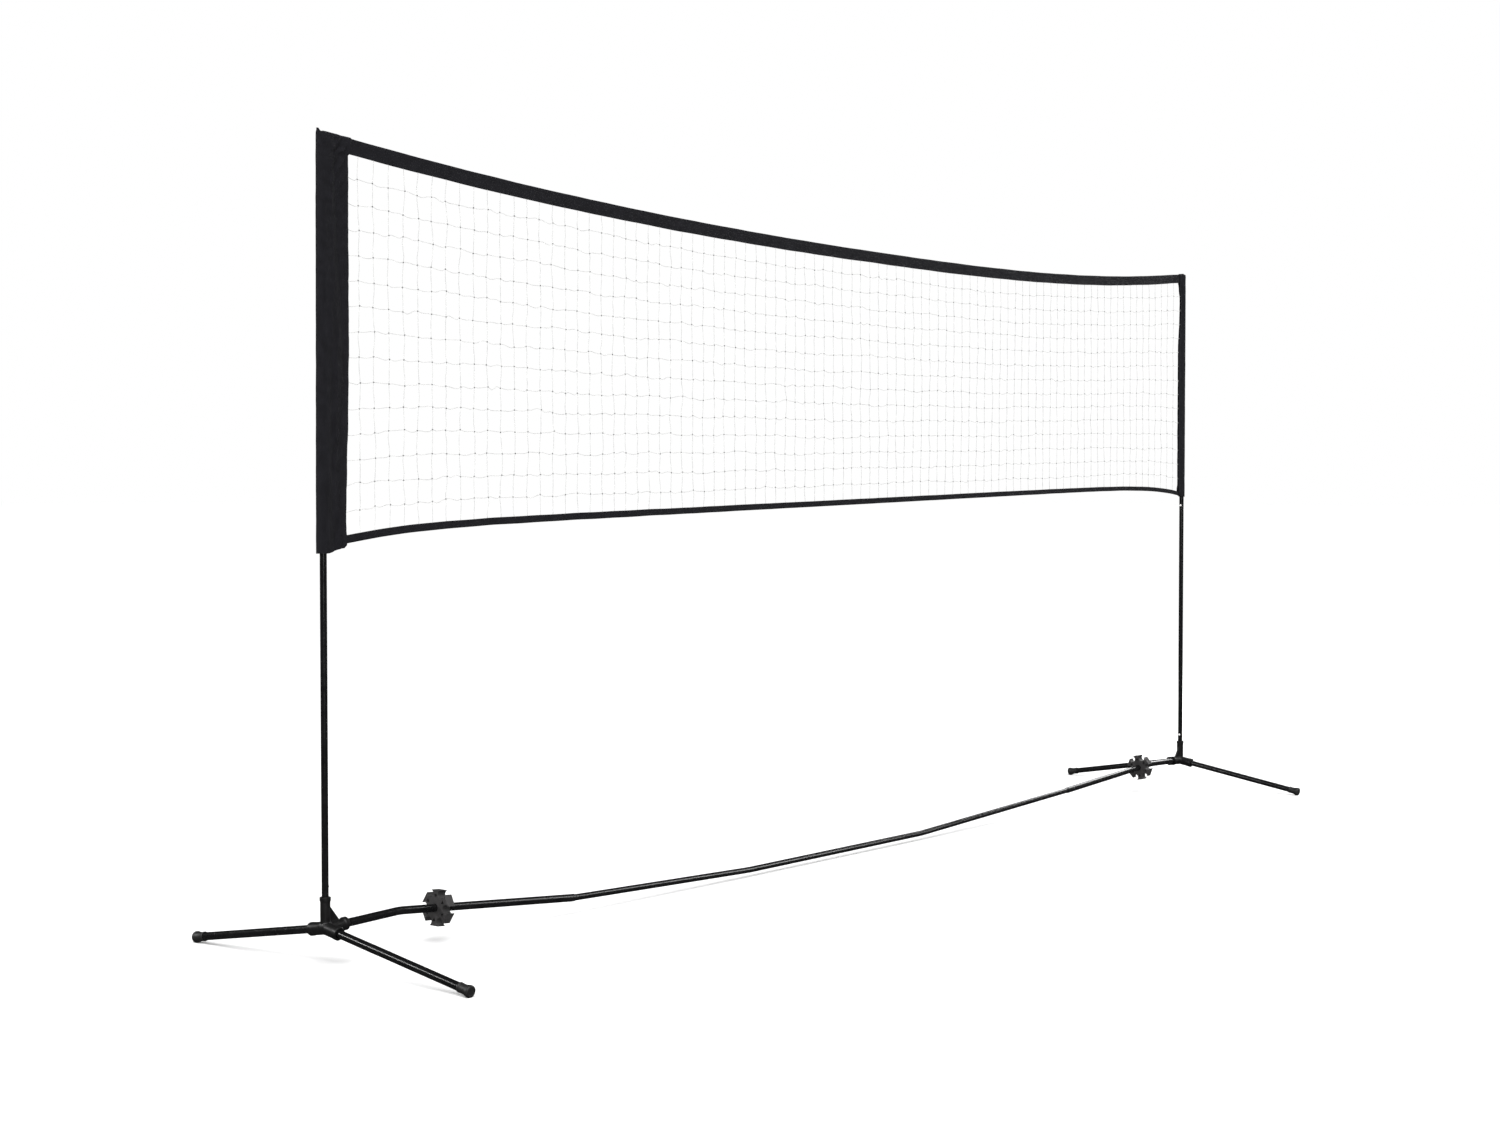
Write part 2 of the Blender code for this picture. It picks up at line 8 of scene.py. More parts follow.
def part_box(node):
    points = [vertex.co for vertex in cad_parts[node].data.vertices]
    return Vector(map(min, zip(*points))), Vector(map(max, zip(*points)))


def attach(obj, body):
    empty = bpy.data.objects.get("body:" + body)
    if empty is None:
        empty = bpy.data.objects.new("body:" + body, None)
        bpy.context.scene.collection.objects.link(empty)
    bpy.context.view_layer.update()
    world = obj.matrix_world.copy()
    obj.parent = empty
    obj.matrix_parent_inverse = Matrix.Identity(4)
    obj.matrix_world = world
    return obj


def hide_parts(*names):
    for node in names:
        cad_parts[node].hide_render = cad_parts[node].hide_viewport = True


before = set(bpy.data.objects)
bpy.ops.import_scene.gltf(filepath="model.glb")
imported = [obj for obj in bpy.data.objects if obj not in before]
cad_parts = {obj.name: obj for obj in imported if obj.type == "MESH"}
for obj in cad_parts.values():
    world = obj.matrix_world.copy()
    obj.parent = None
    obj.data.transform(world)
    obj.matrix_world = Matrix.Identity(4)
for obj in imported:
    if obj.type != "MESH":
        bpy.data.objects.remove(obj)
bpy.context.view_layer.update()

# The studio: a pale floor, an overcast sun from high behind the camera, two tall softboxes that
# draw the highlights along the poles, and two more lights aimed down at the legs and the bar. The
# camera stands outside the left pole, at waist height.
CAMERA_PLACE = (-4.376, -3.178, 0.881)
CAMERA_YAW, CAMERA_PITCH = math.radians(51.255), math.radians(1.73)
CAMERA_LENS, CAMERA_FAR = 52.98, 1000
SKY_BEHIND, SKY_LIGHT, SKY_MIRRORED = 1.0, 0.32, 0.05  # strength as seen, as light, in reflections
SUN_TURN = (math.radians(28), math.radians(-24), 0)
SUN_STRENGTH, SUN_SPREAD = 3.15, math.radians(50)
LIGHTS = (
    ("softbox_near", (-4.6, -4.4, 2.3), (-1.7, -0.7, 1.0), (0.7, 3.2), 110),
    ("softbox_far", (4.4, -3.2, 2.6), (1.8, -0.8, 1.3), (0.8, 3.2), 90),
    ("strip_left", (-3.9, 2.75, 2.1), (-1.68, -0.2, 0.05), (1.6, 0.32), 70),
    ("strip_right", (5.2, 0.4, 2.25), (1.3, 0.0, 0.07), (2.4, 1.3), 80),
)  # name, place, the point it faces, width and height, and power
FLOOR_SIZE = 400.0
FLOOR_TONES, FLOOR_PATCHES = (0.93, 0.95), 1.5


def start_fresh():
    """Deselects all, so that the next operator acts on its own piece only."""
    if bpy.context.object and bpy.context.object.mode != "OBJECT":
        bpy.ops.object.mode_set(mode="OBJECT")
    bpy.ops.object.select_all(action="DESELECT")


def add_node(nodes, kind, **values):
    """A new shader node, with those values on its sockets."""
    made = nodes.new("ShaderNode" + kind)
    for socket, value in values.items():
        made.inputs[socket.replace("_", " ")].default_value = value
    return made


start_fresh()
bpy.context.scene.view_settings.view_transform = "Standard"
bpy.ops.object.camera_add(
    location=CAMERA_PLACE, rotation=(math.pi / 2 - CAMERA_PITCH, 0, -CAMERA_YAW)
)
camera = bpy.context.object
camera.name = "camera"
camera.data.lens = CAMERA_LENS
camera.data.clip_end = CAMERA_FAR
bpy.context.scene.camera = camera

sky = bpy.data.worlds.new("sky")
sky.use_nodes = True
bpy.context.scene.world = sky
sky_nodes, sky_links = sky.node_tree.nodes, sky.node_tree.links
sky_nodes["Background"].inputs["Color"].default_value = (1.0, 1.0, 1.0, 1.0)
sky_path = add_node(sky_nodes, "LightPath")
sky_level = add_node(sky_nodes, "MapRange", To_Max=SKY_BEHIND)
sky_links.new(sky_path.outputs["Is Camera Ray"], sky_level.inputs["Value"])
sky_mirror = add_node(sky_nodes, "MapRange", To_Min=SKY_LIGHT, To_Max=SKY_MIRRORED)
sky_links.new(sky_path.outputs["Is Glossy Ray"], sky_mirror.inputs["Value"])
sky_links.new(sky_mirror.outputs["Result"], sky_level.inputs["To Min"])
sky_links.new(sky_level.outputs["Result"], sky_nodes["Background"].inputs["Strength"])

bpy.ops.object.light_add(type="SUN", rotation=SUN_TURN)
sun = bpy.context.object
sun.name = "sun"
sun.data.energy = SUN_STRENGTH
sun.data.angle = SUN_SPREAD
for label, place, aim, size, power in LIGHTS:
    towards = (Vector(aim) - Vector(place)).to_track_quat("-Z", "Y").to_euler()
    bpy.ops.object.light_add(type="AREA", location=place, rotation=towards)
    box = bpy.context.object
    box.name = label
    box.visible_camera = False
    box.data.shape = "RECTANGLE"
    box.data.size, box.data.size_y = size
    box.data.energy = power

bpy.ops.mesh.primitive_plane_add(size=FLOOR_SIZE)
floor = bpy.context.object
floor.name = "floor"
pale = bpy.data.materials.new("pale_floor")
pale.use_nodes = True
pale_nodes, pale_links = pale.node_tree.nodes, pale.node_tree.links
pale_shader = pale_nodes["Principled BSDF"]
pale_noise = add_node(pale_nodes, "TexNoise", Scale=FLOOR_PATCHES)
pale_ramp = add_node(pale_nodes, "MapRange", To_Min=FLOOR_TONES[0], To_Max=FLOOR_TONES[1])
pale_links.new(pale_noise.outputs["Fac"], pale_ramp.inputs["Value"])
pale_links.new(pale_ramp.outputs["Result"], pale_shader.inputs["Base Color"])
pale_shader.inputs["Roughness"].default_value = 0.9
pale_shader.inputs["Specular IOR Level"].default_value = 0.1
floor.data.materials.append(pale)
floor.visible_glossy = False

# Legs: four straight steel tubes, 16 mm across with a 0.9 mm wall, painted gloss black. Each is
# pushed into a socket of the hub and slopes down and outwards to its foot.
POLE_PLACES = {}
for side in ("left", "right"):
    low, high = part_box(f"pole_upper_{side}")
    POLE_PLACES[side] = (low.x + high.x) / 2
HUB_HEIGHT = 0.076
LEG_LENGTH = 0.3935
LEG_RADIUS, LEG_WALL = 0.008, 0.0009
FOOT_RADIUS, FOOT_FLOOR = LEG_RADIUS + 0.0035, 0.005  # the foot cap, and how thick its end is
FOOT_FLAT = 0.0010  # how much of the cap's round edge is flat on the floor
LEG_SLOPE = math.asin(
    (HUB_HEIGHT + FOOT_FLAT) / math.hypot(LEG_LENGTH, FOOT_RADIUS)
) - math.atan2(FOOT_RADIUS, LEG_LENGTH)
FIT = 0.0003  # gap between pieces that touch
SOCKET_FLOOR = 0.016  # from the hub's centre
ROUND = 56  # facets round a tube
TONE_STOPS, NOISE_LOW, NOISE_HIGH = (0.34, 0.68), 0.3, 0.7  # where most of a noise's values lie
SHARP = 0.6  # angle past which an edge is rounded
MERGE = 0.000002  # points closer than this are one point


def finish(name, tones, patch, gloss, grain, height, fixed=None, along=None):
    """A procedural finish: two close tones in soft patches, uneven gloss, and a fine raised
    grain. patch and grain are the sizes of their features in metres, gloss the lowest and
    highest roughness, and height how far the grain stands up."""
    made = bpy.data.materials.new(name)
    made.use_nodes = True
    nodes, links = made.node_tree.nodes, made.node_tree.links
    shader = nodes["Principled BSDF"]
    where = add_node(nodes, "TexCoord")
    stretch = add_node(nodes, "Mapping", Scale=along or (1, 1, 1))
    links.new(where.outputs["Object"], stretch.inputs["Vector"])
    fields = []
    for size, detail in ((patch, 5), (patch / 4, 7), (grain, 2)):
        fields.append(add_node(nodes, "TexNoise", Scale=1 / size, Detail=detail))
        links.new(stretch.outputs["Vector"], fields[-1].inputs["Vector"])
    patches, smears, grains = fields
    tone = add_node(nodes, "ValToRGB")
    for stop, place, colour in zip(tone.color_ramp.elements, TONE_STOPS, tones):
        stop.position = place
        stop.color = (*colour, 1)
    links.new(patches.outputs["Fac"], tone.inputs["Fac"])
    links.new(tone.outputs["Color"], shader.inputs["Base Color"])
    shine = add_node(
        nodes, "MapRange", From_Min=NOISE_LOW, From_Max=NOISE_HIGH, To_Min=gloss[0], To_Max=gloss[1]
    )
    links.new(smears.outputs["Fac"], shine.inputs["Value"])
    links.new(shine.outputs["Result"], shader.inputs["Roughness"])
    bump = add_node(nodes, "Bump", Strength=0.6, Distance=height)
    links.new(grains.outputs["Fac"], bump.inputs["Height"])
    links.new(bump.outputs["Normal"], shader.inputs["Normal"])
    for socket, value in (fixed or {}).items():
        shader.inputs[socket].default_value = value
    return made


gloss_paint = finish(
    "gloss_paint", ((0.0026, 0.0026, 0.0029), (0.0056, 0.0056, 0.0060)), 0.05, (0.16, 0.30),
    0.0016, 0.00004, {"Coat Weight": 0.10, "Coat Roughness": 0.07, "Specular IOR Level": 0.28},
)


def drawn(name, corners):
    """A new piece, left in edit mode: a line drawn from corner to corner from a single point."""
    start_fresh()
    bpy.ops.mesh.primitive_plane_add(size=0.01)
    piece = bpy.context.object
    piece.name = piece.data.name = name
    bpy.ops.object.mode_set(mode="EDIT")
    bpy.ops.mesh.merge(type="CENTER")
    bpy.ops.transform.translate(value=corners[0])
    for start, end in zip(corners, corners[1:]):
        step = tuple(b - a for a, b in zip(start, end))
        bpy.ops.mesh.extrude_region_move(TRANSFORM_OT_translate={"value": step})
    return piece


def turned(name, profile, place=Matrix(), sides=ROUND, soften=0.0):
    """A turned piece: its profile, as (radius, distance along the axis), is drawn and spun round
    the axis. soften rounds its sharp edges by that much."""
    piece = drawn(name, [(radius, 0, distance) for radius, distance in profile])
    bpy.ops.mesh.select_all(action="SELECT")
    bpy.ops.mesh.spin(steps=sides, angle=2 * math.pi, center=(0, 0, 0), axis=(0, 0, 1))
    bpy.ops.mesh.select_all(action="SELECT")
    bpy.ops.mesh.remove_doubles(threshold=MERGE)
    bpy.ops.mesh.normals_make_consistent(inside=False)
    bpy.ops.object.mode_set(mode="OBJECT")
    if soften:
        apply_modifier(
            piece, "BEVEL", width=soften, segments=2, limit_method="ANGLE", angle_limit=SHARP
        )
    return settle(piece, place)


def take_up(piece):
    """Selects one piece alone."""
    start_fresh()
    piece.select_set(True)
    bpy.context.view_layer.objects.active = piece


def apply_modifier(piece, kind, **settings):
    """Adds a modifier with those settings, and applies it."""
    take_up(piece)
    modifier = piece.modifiers.new(kind.lower(), kind)
    for setting, value in settings.items():
        setattr(modifier, setting, value)
    bpy.ops.object.modifier_apply(modifier=modifier.name)


def settle(piece, place=Matrix(), angle=32):
    """Moves a finished mesh to its place, leaves its object at the origin, and smooths what is
    round."""
    take_up(piece)
    piece.matrix_world = place @ piece.matrix_world
    bpy.ops.object.transform_apply(location=True, rotation=True, scale=True)
    bpy.ops.object.shade_smooth_by_angle(angle=math.radians(angle))
    return piece


def hand_over(piece, material, slot, body, *nodes):
    """Gives a finished piece its finish, its body and the CAD nodes it stands for."""
    piece.data.materials.clear()
    piece.data.materials.append(material)
    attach(piece, body)
    if nodes:
        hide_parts(*nodes)


def leg_place(side, way):
    """Where a leg's axis starts and points: way is -1 for a front leg and 1 for a rear one."""
    return Matrix.Translation((POLE_PLACES[side], 0, HUB_HEIGHT)) @ Matrix.Rotation(
        -way * (math.pi / 2 + LEG_SLOPE), 4, "X"
    )


LEGS = (("front", -1), ("rear", 1))
for side in POLE_PLACES:
    for leg, way in LEGS:
        near, far = SOCKET_FLOOR + FIT, LEG_LENGTH - FOOT_FLOOR - FIT
        bore = LEG_RADIUS - LEG_WALL
        wall = [(LEG_RADIUS, near), (LEG_RADIUS, far), (bore, far), (bore, near)]
        tube = turned(f"leg_tube_{side}_{leg}", wall + wall[:1], leg_place(side, way))
        hand_over(tube, gloss_paint, "tube_paint", "base", f"leg_{side}_{leg}")

# Foot caps: soft black plastic bells pushed over the ends of the legs. Each has a ring at its
# mouth and a flared, rounded end, and its lowest edge is flat where it stands on the floor.
FOOT_NECK, FOOT_LENGTH = LEG_RADIUS + FIT + 0.0009, 0.030
FOOT_EDGE = 0.00025
foot_rubber = finish(
    "foot_rubber", ((0.0060, 0.0060, 0.0063), (0.0110, 0.0110, 0.0112)), 0.012, (0.42, 0.62),
    0.0006, 0.00006, {"Specular IOR Level": 0.45},
)
for side in POLE_PLACES:
    for leg, way in LEGS:
        end, start = LEG_LENGTH, LEG_LENGTH - FOOT_LENGTH
        bell = [
            (LEG_RADIUS + FIT, start), (FOOT_NECK, start), (FOOT_NECK + 0.0004, start + 0.0006),
            (FOOT_NECK + 0.0004, start + 0.0034), (FOOT_NECK - 0.0001, start + 0.0040),
            (FOOT_NECK - 0.0001, end - 0.0175), (FOOT_NECK + 0.0003, end - 0.0145),
            (FOOT_NECK + 0.0011, end - 0.0110), (FOOT_RADIUS - 0.0003, end - 0.0075),
            (FOOT_RADIUS, end - 0.0060), (FOOT_RADIUS, end - 0.0026),
            (FOOT_RADIUS - 0.0005, end - 0.0011), (FOOT_RADIUS - 0.0018, end - 0.0003),
            (FOOT_RADIUS - 0.0040, end), (FOOT_RADIUS - 0.0046, end - 0.0006), (0, end - 0.0008),
            (0, end - FOOT_FLOOR), (LEG_RADIUS + FIT, end - FOOT_FLOOR),
        ]
        foot = turned(
            f"foot_bell_{side}_{leg}", bell + bell[:1], leg_place(side, way), soften=FOOT_EDGE
        )
        take_up(foot)
        bpy.ops.object.mode_set(mode="EDIT")
        bpy.ops.mesh.select_all(action="SELECT")
        bpy.ops.mesh.bisect(
            plane_co=(0, 0, 0), plane_no=(0, 0, 1), use_fill=True, clear_inner=True
        )
        bpy.ops.object.mode_set(mode="OBJECT")
        settle(foot)
        hand_over(foot, foot_rubber, "foot_plastic", "base", f"foot_cap_{side}_{leg}")

# The bar along the floor: five steel tubes that plug into each other. The two thicker end tubes
# are bent up to the hubs, and the three in the middle meet at shallow angles, so the bar bows.
SPAN = POLE_PLACES["right"] - POLE_PLACES["left"]
BAR_RADIUS, BAR_WALL = 0.0068, 0.0009
BAR_PLUG_RADIUS = BAR_RADIUS - BAR_WALL - FIT
BAR_PLUG = 0.040  # how far a tube runs into the next one
BEND_HALF, BEND_RINGS, RING_SPACE = 0.012, 13, 0.002  # half a bend's length, and its rings
TAPER = 0.004
BAR_CORNERS = (
    (-0.185, 0.0705), (0.185, 0.0815), (0.672, 0.0370), (1.260, 0.0175), (1.9656, 0.0185),
    (2.688, 0.0526), (3.175, 0.0815), (3.545, 0.0705),
)  # distance from the left pole, and height


def bar_height(x):
    """Height of the bar's corner line."""
    return float(
        np.interp(
            x, [c[0] + POLE_PLACES["left"] for c in BAR_CORNERS], [c[1] for c in BAR_CORNERS]
        )
    )


def bar_place(x):
    """The bar's centre at x, and the direction across it that points up."""
    height = float(np.mean([bar_height(x + w) for w in np.linspace(-BEND_HALF, BEND_HALF, 25)]))
    rise = bar_height(x + BEND_HALF) - bar_height(x - BEND_HALF)
    along = Vector((2 * BEND_HALF, 0, rise)).normalized()
    return Vector((x, 0, height)), Vector((-along.z, 0, along.x))


def bar_stations(start, end):
    """Places from start to end where the bar needs a ring."""
    corners = [c[0] + POLE_PLACES["left"] for c in BAR_CORNERS[1:-1]]
    bends = [x + BEND_HALF * step for x in corners for step in np.linspace(-1, 1, BEND_RINGS)]
    return [start, *sorted(x for x in bends if start + RING_SPACE < x < end - RING_SPACE), end]


def bar_tube(name, start, end, radius, wall, plug, *nodes):
    """A straight turned tube, bent ring by ring onto the bar's line."""
    outer = [(radius, x) for x in bar_stations(start, end)]
    inner = [(radius - wall, x) for x in bar_stations(start, end - 2 * TAPER * bool(plug))]
    if plug:
        outer += [(BAR_PLUG_RADIUS, x) for x in bar_stations(end, end + plug)]
        inner += [(BAR_PLUG_RADIUS - wall, x) for x in bar_stations(end - TAPER, end + plug)]
    profile = outer + inner[::-1]
    tube = turned(name, profile + profile[:1])
    for point in tube.data.vertices:
        centre, up = bar_place(point.co.z)
        point.co = centre + point.co.x * up + Vector((0, point.co.y, 0))
    take_up(tube)
    bpy.ops.object.mode_set(mode="EDIT")
    bpy.ops.mesh.select_all(action="SELECT")
    bpy.ops.mesh.normals_make_consistent(inside=False)
    bpy.ops.object.mode_set(mode="OBJECT")
    settle(tube)
    hand_over(tube, gloss_paint, "tube_paint", "base", *nodes)


bar_joints = [c[0] + POLE_PLACES["left"] for c in BAR_CORNERS[2:6]]
bar_reach = SPAN / 2 - SOCKET_FLOOR - FIT
bar_tube("bar_tube_left", -bar_reach, bar_joints[0], LEG_RADIUS, LEG_WALL, 0, "bar_end_left")
bar_tube("bar_tube_right", bar_joints[3], bar_reach, LEG_RADIUS, LEG_WALL, 0, "bar_end_right")
for number, start, end, plug in (
    (1, bar_joints[0] - BAR_PLUG, bar_joints[1], BAR_PLUG),
    (2, bar_joints[1] + FIT, bar_joints[2], BAR_PLUG),
    (3, bar_joints[2] + FIT, bar_joints[3] + BAR_PLUG, 0),
):
    bar_tube(
        f"bar_tube_{number}", start, end, BAR_RADIUS, BAR_WALL, plug, f"bar_middle_{number}"
    )

# Hubs: a four-way fitting moulded in satin black plastic, with an upright socket for the pole, a
# collared socket for each leg and for the bar, and a web that braces the upright to the bar arm.
# The two are the same moulding, turned to face each other.
POLE_RADIUS, POLE_WALL = 0.0065, 0.0008
STUB_RADIUS = POLE_RADIUS - POLE_WALL - FIT
UPRIGHT_RADIUS = POLE_RADIUS + FIT + 0.0027
SOCKET_RADIUS = LEG_RADIUS + FIT
ARM_RADIUS = SOCKET_RADIUS + 0.0025
LEG_ARM_RADIUS, LEG_ARM_LIP = 0.0124, 0.0006
COLLAR_LIP, COLLAR_LENGTH = 0.0020, 0.008
RIM_RISE, RIM_HEIGHT, RIM_LIP = 0.058, 0.007, 0.0010
STUB_FLOOR, STUB_HOLD = 0.0015, 0.0135
STUB_RISE = ARM_RADIUS / math.cos(LEG_SLOPE) + STUB_FLOOR
SEAT_RISE = STUB_RISE + STUB_HOLD  # where the pole's foot rests
BAR_ARM, LEG_ARM = 0.050, 0.040
BAR_RISE = math.atan2(0.0055, 0.185)
WEB_THICKNESS = 0.0040
LEAD_IN = 0.0007  # bevel at the mouth of a bore
CLEAR = 0.01  # how far a cutting tool runs past the surface
VOXEL = 0.0007
HUB_SMOOTH = 38  # degrees
hub_satin = finish(
    "hub_satin", ((0.0036, 0.0035, 0.0037), (0.0068, 0.0066, 0.0068)), 0.018, (0.34, 0.50),
    0.0005, 0.00004, {"Specular IOR Level": 0.26},
)


def boolean(piece, other, operation):
    """Joins another piece to this one, or cuts it away, and removes it."""
    apply_modifier(piece, "BOOLEAN", operation=operation, solver="EXACT", object=other)
    bpy.data.objects.remove(other)


def joined(name, parts):
    """Several pieces as one object."""
    start_fresh()
    for part in parts:
        part.select_set(True)
    bpy.context.view_layer.objects.active = parts[0]
    bpy.ops.object.join()
    parts[0].name = parts[0].data.name = name
    return parts[0]


def plate(name, corners, thickness, place=Matrix()):
    """A flat plate: its outline is drawn, filled, and extruded to its thickness."""
    piece = drawn(name, [(x, y, -thickness / 2) for x, y in corners + corners[:1]])
    bpy.ops.mesh.select_all(action="SELECT")
    bpy.ops.mesh.remove_doubles(threshold=MERGE)
    bpy.ops.mesh.edge_face_add()
    bpy.ops.mesh.extrude_region_move(TRANSFORM_OT_translate={"value": (0, 0, thickness)})
    bpy.ops.mesh.select_all(action="SELECT")
    bpy.ops.mesh.normals_make_consistent(inside=False)
    bpy.ops.object.mode_set(mode="OBJECT")
    return settle(piece, place)


bar_way = Matrix.Rotation(math.pi / 2 - BAR_RISE, 4, "Y")
arms = [("bar", BAR_ARM, ARM_RADIUS, COLLAR_LIP, bar_way)]
for leg, way in LEGS:
    leg_way = Matrix.Rotation(-way * (math.pi / 2 + LEG_SLOPE), 4, "X")
    arms.append((leg, LEG_ARM, LEG_ARM_RADIUS, LEG_ARM_LIP, leg_way))
soft_parts = [
    turned(
        "upright",
        [(0, -0.004), (UPRIGHT_RADIUS, -0.004), (UPRIGHT_RADIUS, 0.054), (0, 0.054)],
    )
]
crisp_parts = [
    turned(
        "rim",
        [
            (0, RIM_RISE - 0.012), (UPRIGHT_RADIUS - 0.0004, RIM_RISE - 0.012),
            (UPRIGHT_RADIUS + 0.0001, RIM_RISE - 0.0095),
            (UPRIGHT_RADIUS + 0.0001, RIM_RISE - 0.0078),
            (UPRIGHT_RADIUS + RIM_LIP, RIM_RISE - RIM_HEIGHT),
            (UPRIGHT_RADIUS + RIM_LIP, RIM_RISE - 0.0006),
            (UPRIGHT_RADIUS + RIM_LIP - 0.0006, RIM_RISE), (0, RIM_RISE),
        ],
    )
]
bores = [
    turned(
        "pole_bore",
        [
            (0, STUB_RISE - FIT), (STUB_RADIUS + FIT, STUB_RISE - FIT),
            (STUB_RADIUS + FIT, SEAT_RISE), (POLE_RADIUS + FIT, SEAT_RISE),
            (POLE_RADIUS + FIT, RIM_RISE - LEAD_IN), (POLE_RADIUS + FIT + LEAD_IN, RIM_RISE),
            (POLE_RADIUS + FIT + LEAD_IN, RIM_RISE + CLEAR), (0, RIM_RISE + CLEAR),
        ],
    )
]
for arm, mouth, wide, lip, direction in arms:
    soft_parts.append(
        turned(
            f"{arm}_arm",
            [(0, -0.008), (wide, -0.008), (wide, mouth - 0.004), (0, mouth - 0.004)],
            direction,
        )
    )
    crisp_parts.append(
        turned(
            f"{arm}_collar",
            [
                (0, mouth - 0.014), (wide - 0.0004, mouth - 0.014),
                (wide + 0.0001, mouth - 0.0115), (wide + 0.15 * lip, mouth - 0.0104),
                (wide + 0.85 * lip, mouth - COLLAR_LENGTH - 0.0003),
                (wide + lip, mouth - COLLAR_LENGTH + 0.0006), (wide + lip, mouth - 0.0008),
                (wide + lip - 0.0008, mouth), (0, mouth),
            ],
            direction,
        )
    )
    bores.append(
        turned(
            f"{arm}_bore",
            [
                (0, SOCKET_FLOOR), (SOCKET_RADIUS, SOCKET_FLOOR),
                (SOCKET_RADIUS, mouth - LEAD_IN), (SOCKET_RADIUS + LEAD_IN, mouth),
                (SOCKET_RADIUS + LEAD_IN, mouth + CLEAR), (0, mouth + CLEAR),
            ],
            direction,
        )
    )
web_inside = UPRIGHT_RADIUS - 0.002
soft_parts.append(
    plate(
        "web",
        [
            (web_inside, 0.004), (0.0300, 0.004), (0.0335, ARM_RADIUS),
            (UPRIGHT_RADIUS + 0.0012, 0.0395), (web_inside, 0.0400),
        ],
        WEB_THICKNESS,
        Matrix.Rotation(math.pi / 2, 4, "X"),
    )
)
hub = joined("hub_moulding_left", soft_parts)
apply_modifier(hub, "REMESH", mode="VOXEL", voxel_size=VOXEL)
apply_modifier(hub, "SMOOTH", factor=0.5, iterations=4)
boolean(hub, joined("crisp", crisp_parts), "UNION")
boolean(hub, joined("bores", bores), "DIFFERENCE")
take_up(hub)
bpy.ops.object.duplicate()
other_hub = bpy.context.object
other_hub.name = other_hub.data.name = "hub_moulding_right"
hub_frames = {
    "left": Matrix.Translation((POLE_PLACES["left"], 0, HUB_HEIGHT)),
    "right": Matrix.Translation((POLE_PLACES["right"], 0, HUB_HEIGHT))
    @ Matrix.Rotation(math.pi, 4, "Z"),
}
for side, moulding in (("left", hub), ("right", other_hub)):
    settle(moulding, hub_frames[side], angle=HUB_SMOOTH)
    hand_over(moulding, hub_satin, "hub_plastic", "base", f"hub_{side}")

# Poles: each is two steel tubes, 13 mm across, painted gloss black. The lower tube drops over a
# short stub in the hub, and its narrowed top plugs into the upper tube. Each joint has a round
# hole for its spring button. A domed plastic cap closes the top.
POLE_FOOT = HUB_HEIGHT + SEAT_RISE + FIT
POLE_JOINT, PLUG_LENGTH = 0.838, 0.055
POLE_TOP, CAP_HEAD, CAP_STEM = 1.545, 0.004, 0.014
EDGE, LONG_EDGE = 0.0004, 0.0015  # bevels at the ends of the tubes: across and along
RIM = HUB_HEIGHT + RIM_RISE
STUB_TOP = RIM + 0.058
BUTTON_RADIUS, BUTTON_ROUND = 0.0032, 40
BUTTON_HEIGHTS = {"hub": RIM + 0.020, "pole": POLE_JOINT + 0.014}
HOLE_ROUND, HOLE_RINGS = 32, 0.006  # facets, and how far off the extra rings are
pole_frames = {
    "left": Matrix.Translation((POLE_PLACES["left"], 0, 0)),
    "right": Matrix.Translation((POLE_PLACES["right"], 0, 0)) @ Matrix.Rotation(math.pi, 4, "Z"),
}
ACROSS = Matrix.Rotation(math.pi / 2, 4, "Y")


def button_hole(tube, axis, height):
    """Drills the wall that faces the other pole, for a button."""
    radius = BUTTON_RADIUS + FIT
    drill = turned(
        "drill",
        [(0, 0), (radius, 0), (radius, 2 * CLEAR), (0, 2 * CLEAR)],
        axis @ Matrix.Translation((0, 0, height)) @ ACROSS,
        sides=HOLE_ROUND,
    )
    boolean(tube, drill, "DIFFERENCE")


def pole_tube(name, outer, inner, axis, holes, *nodes, body):
    """A tube for a pole, with a few extra rings above and below each hole."""
    for height in holes:
        for step in (-HOLE_RINGS, HOLE_RINGS):
            for wall in (outer, inner):
                for first, second in zip(wall, wall[1:]):
                    if first[1] < height + step < second[1] and first[0] == second[0]:
                        wall.insert(wall.index(second), (first[0], height + step))
                        break
    profile = outer + inner[::-1]
    tube = turned(name, profile + profile[:1], axis)
    for height in holes:
        button_hole(tube, axis, height)
    settle(tube)
    hand_over(tube, gloss_paint, "tube_paint", body, *nodes)


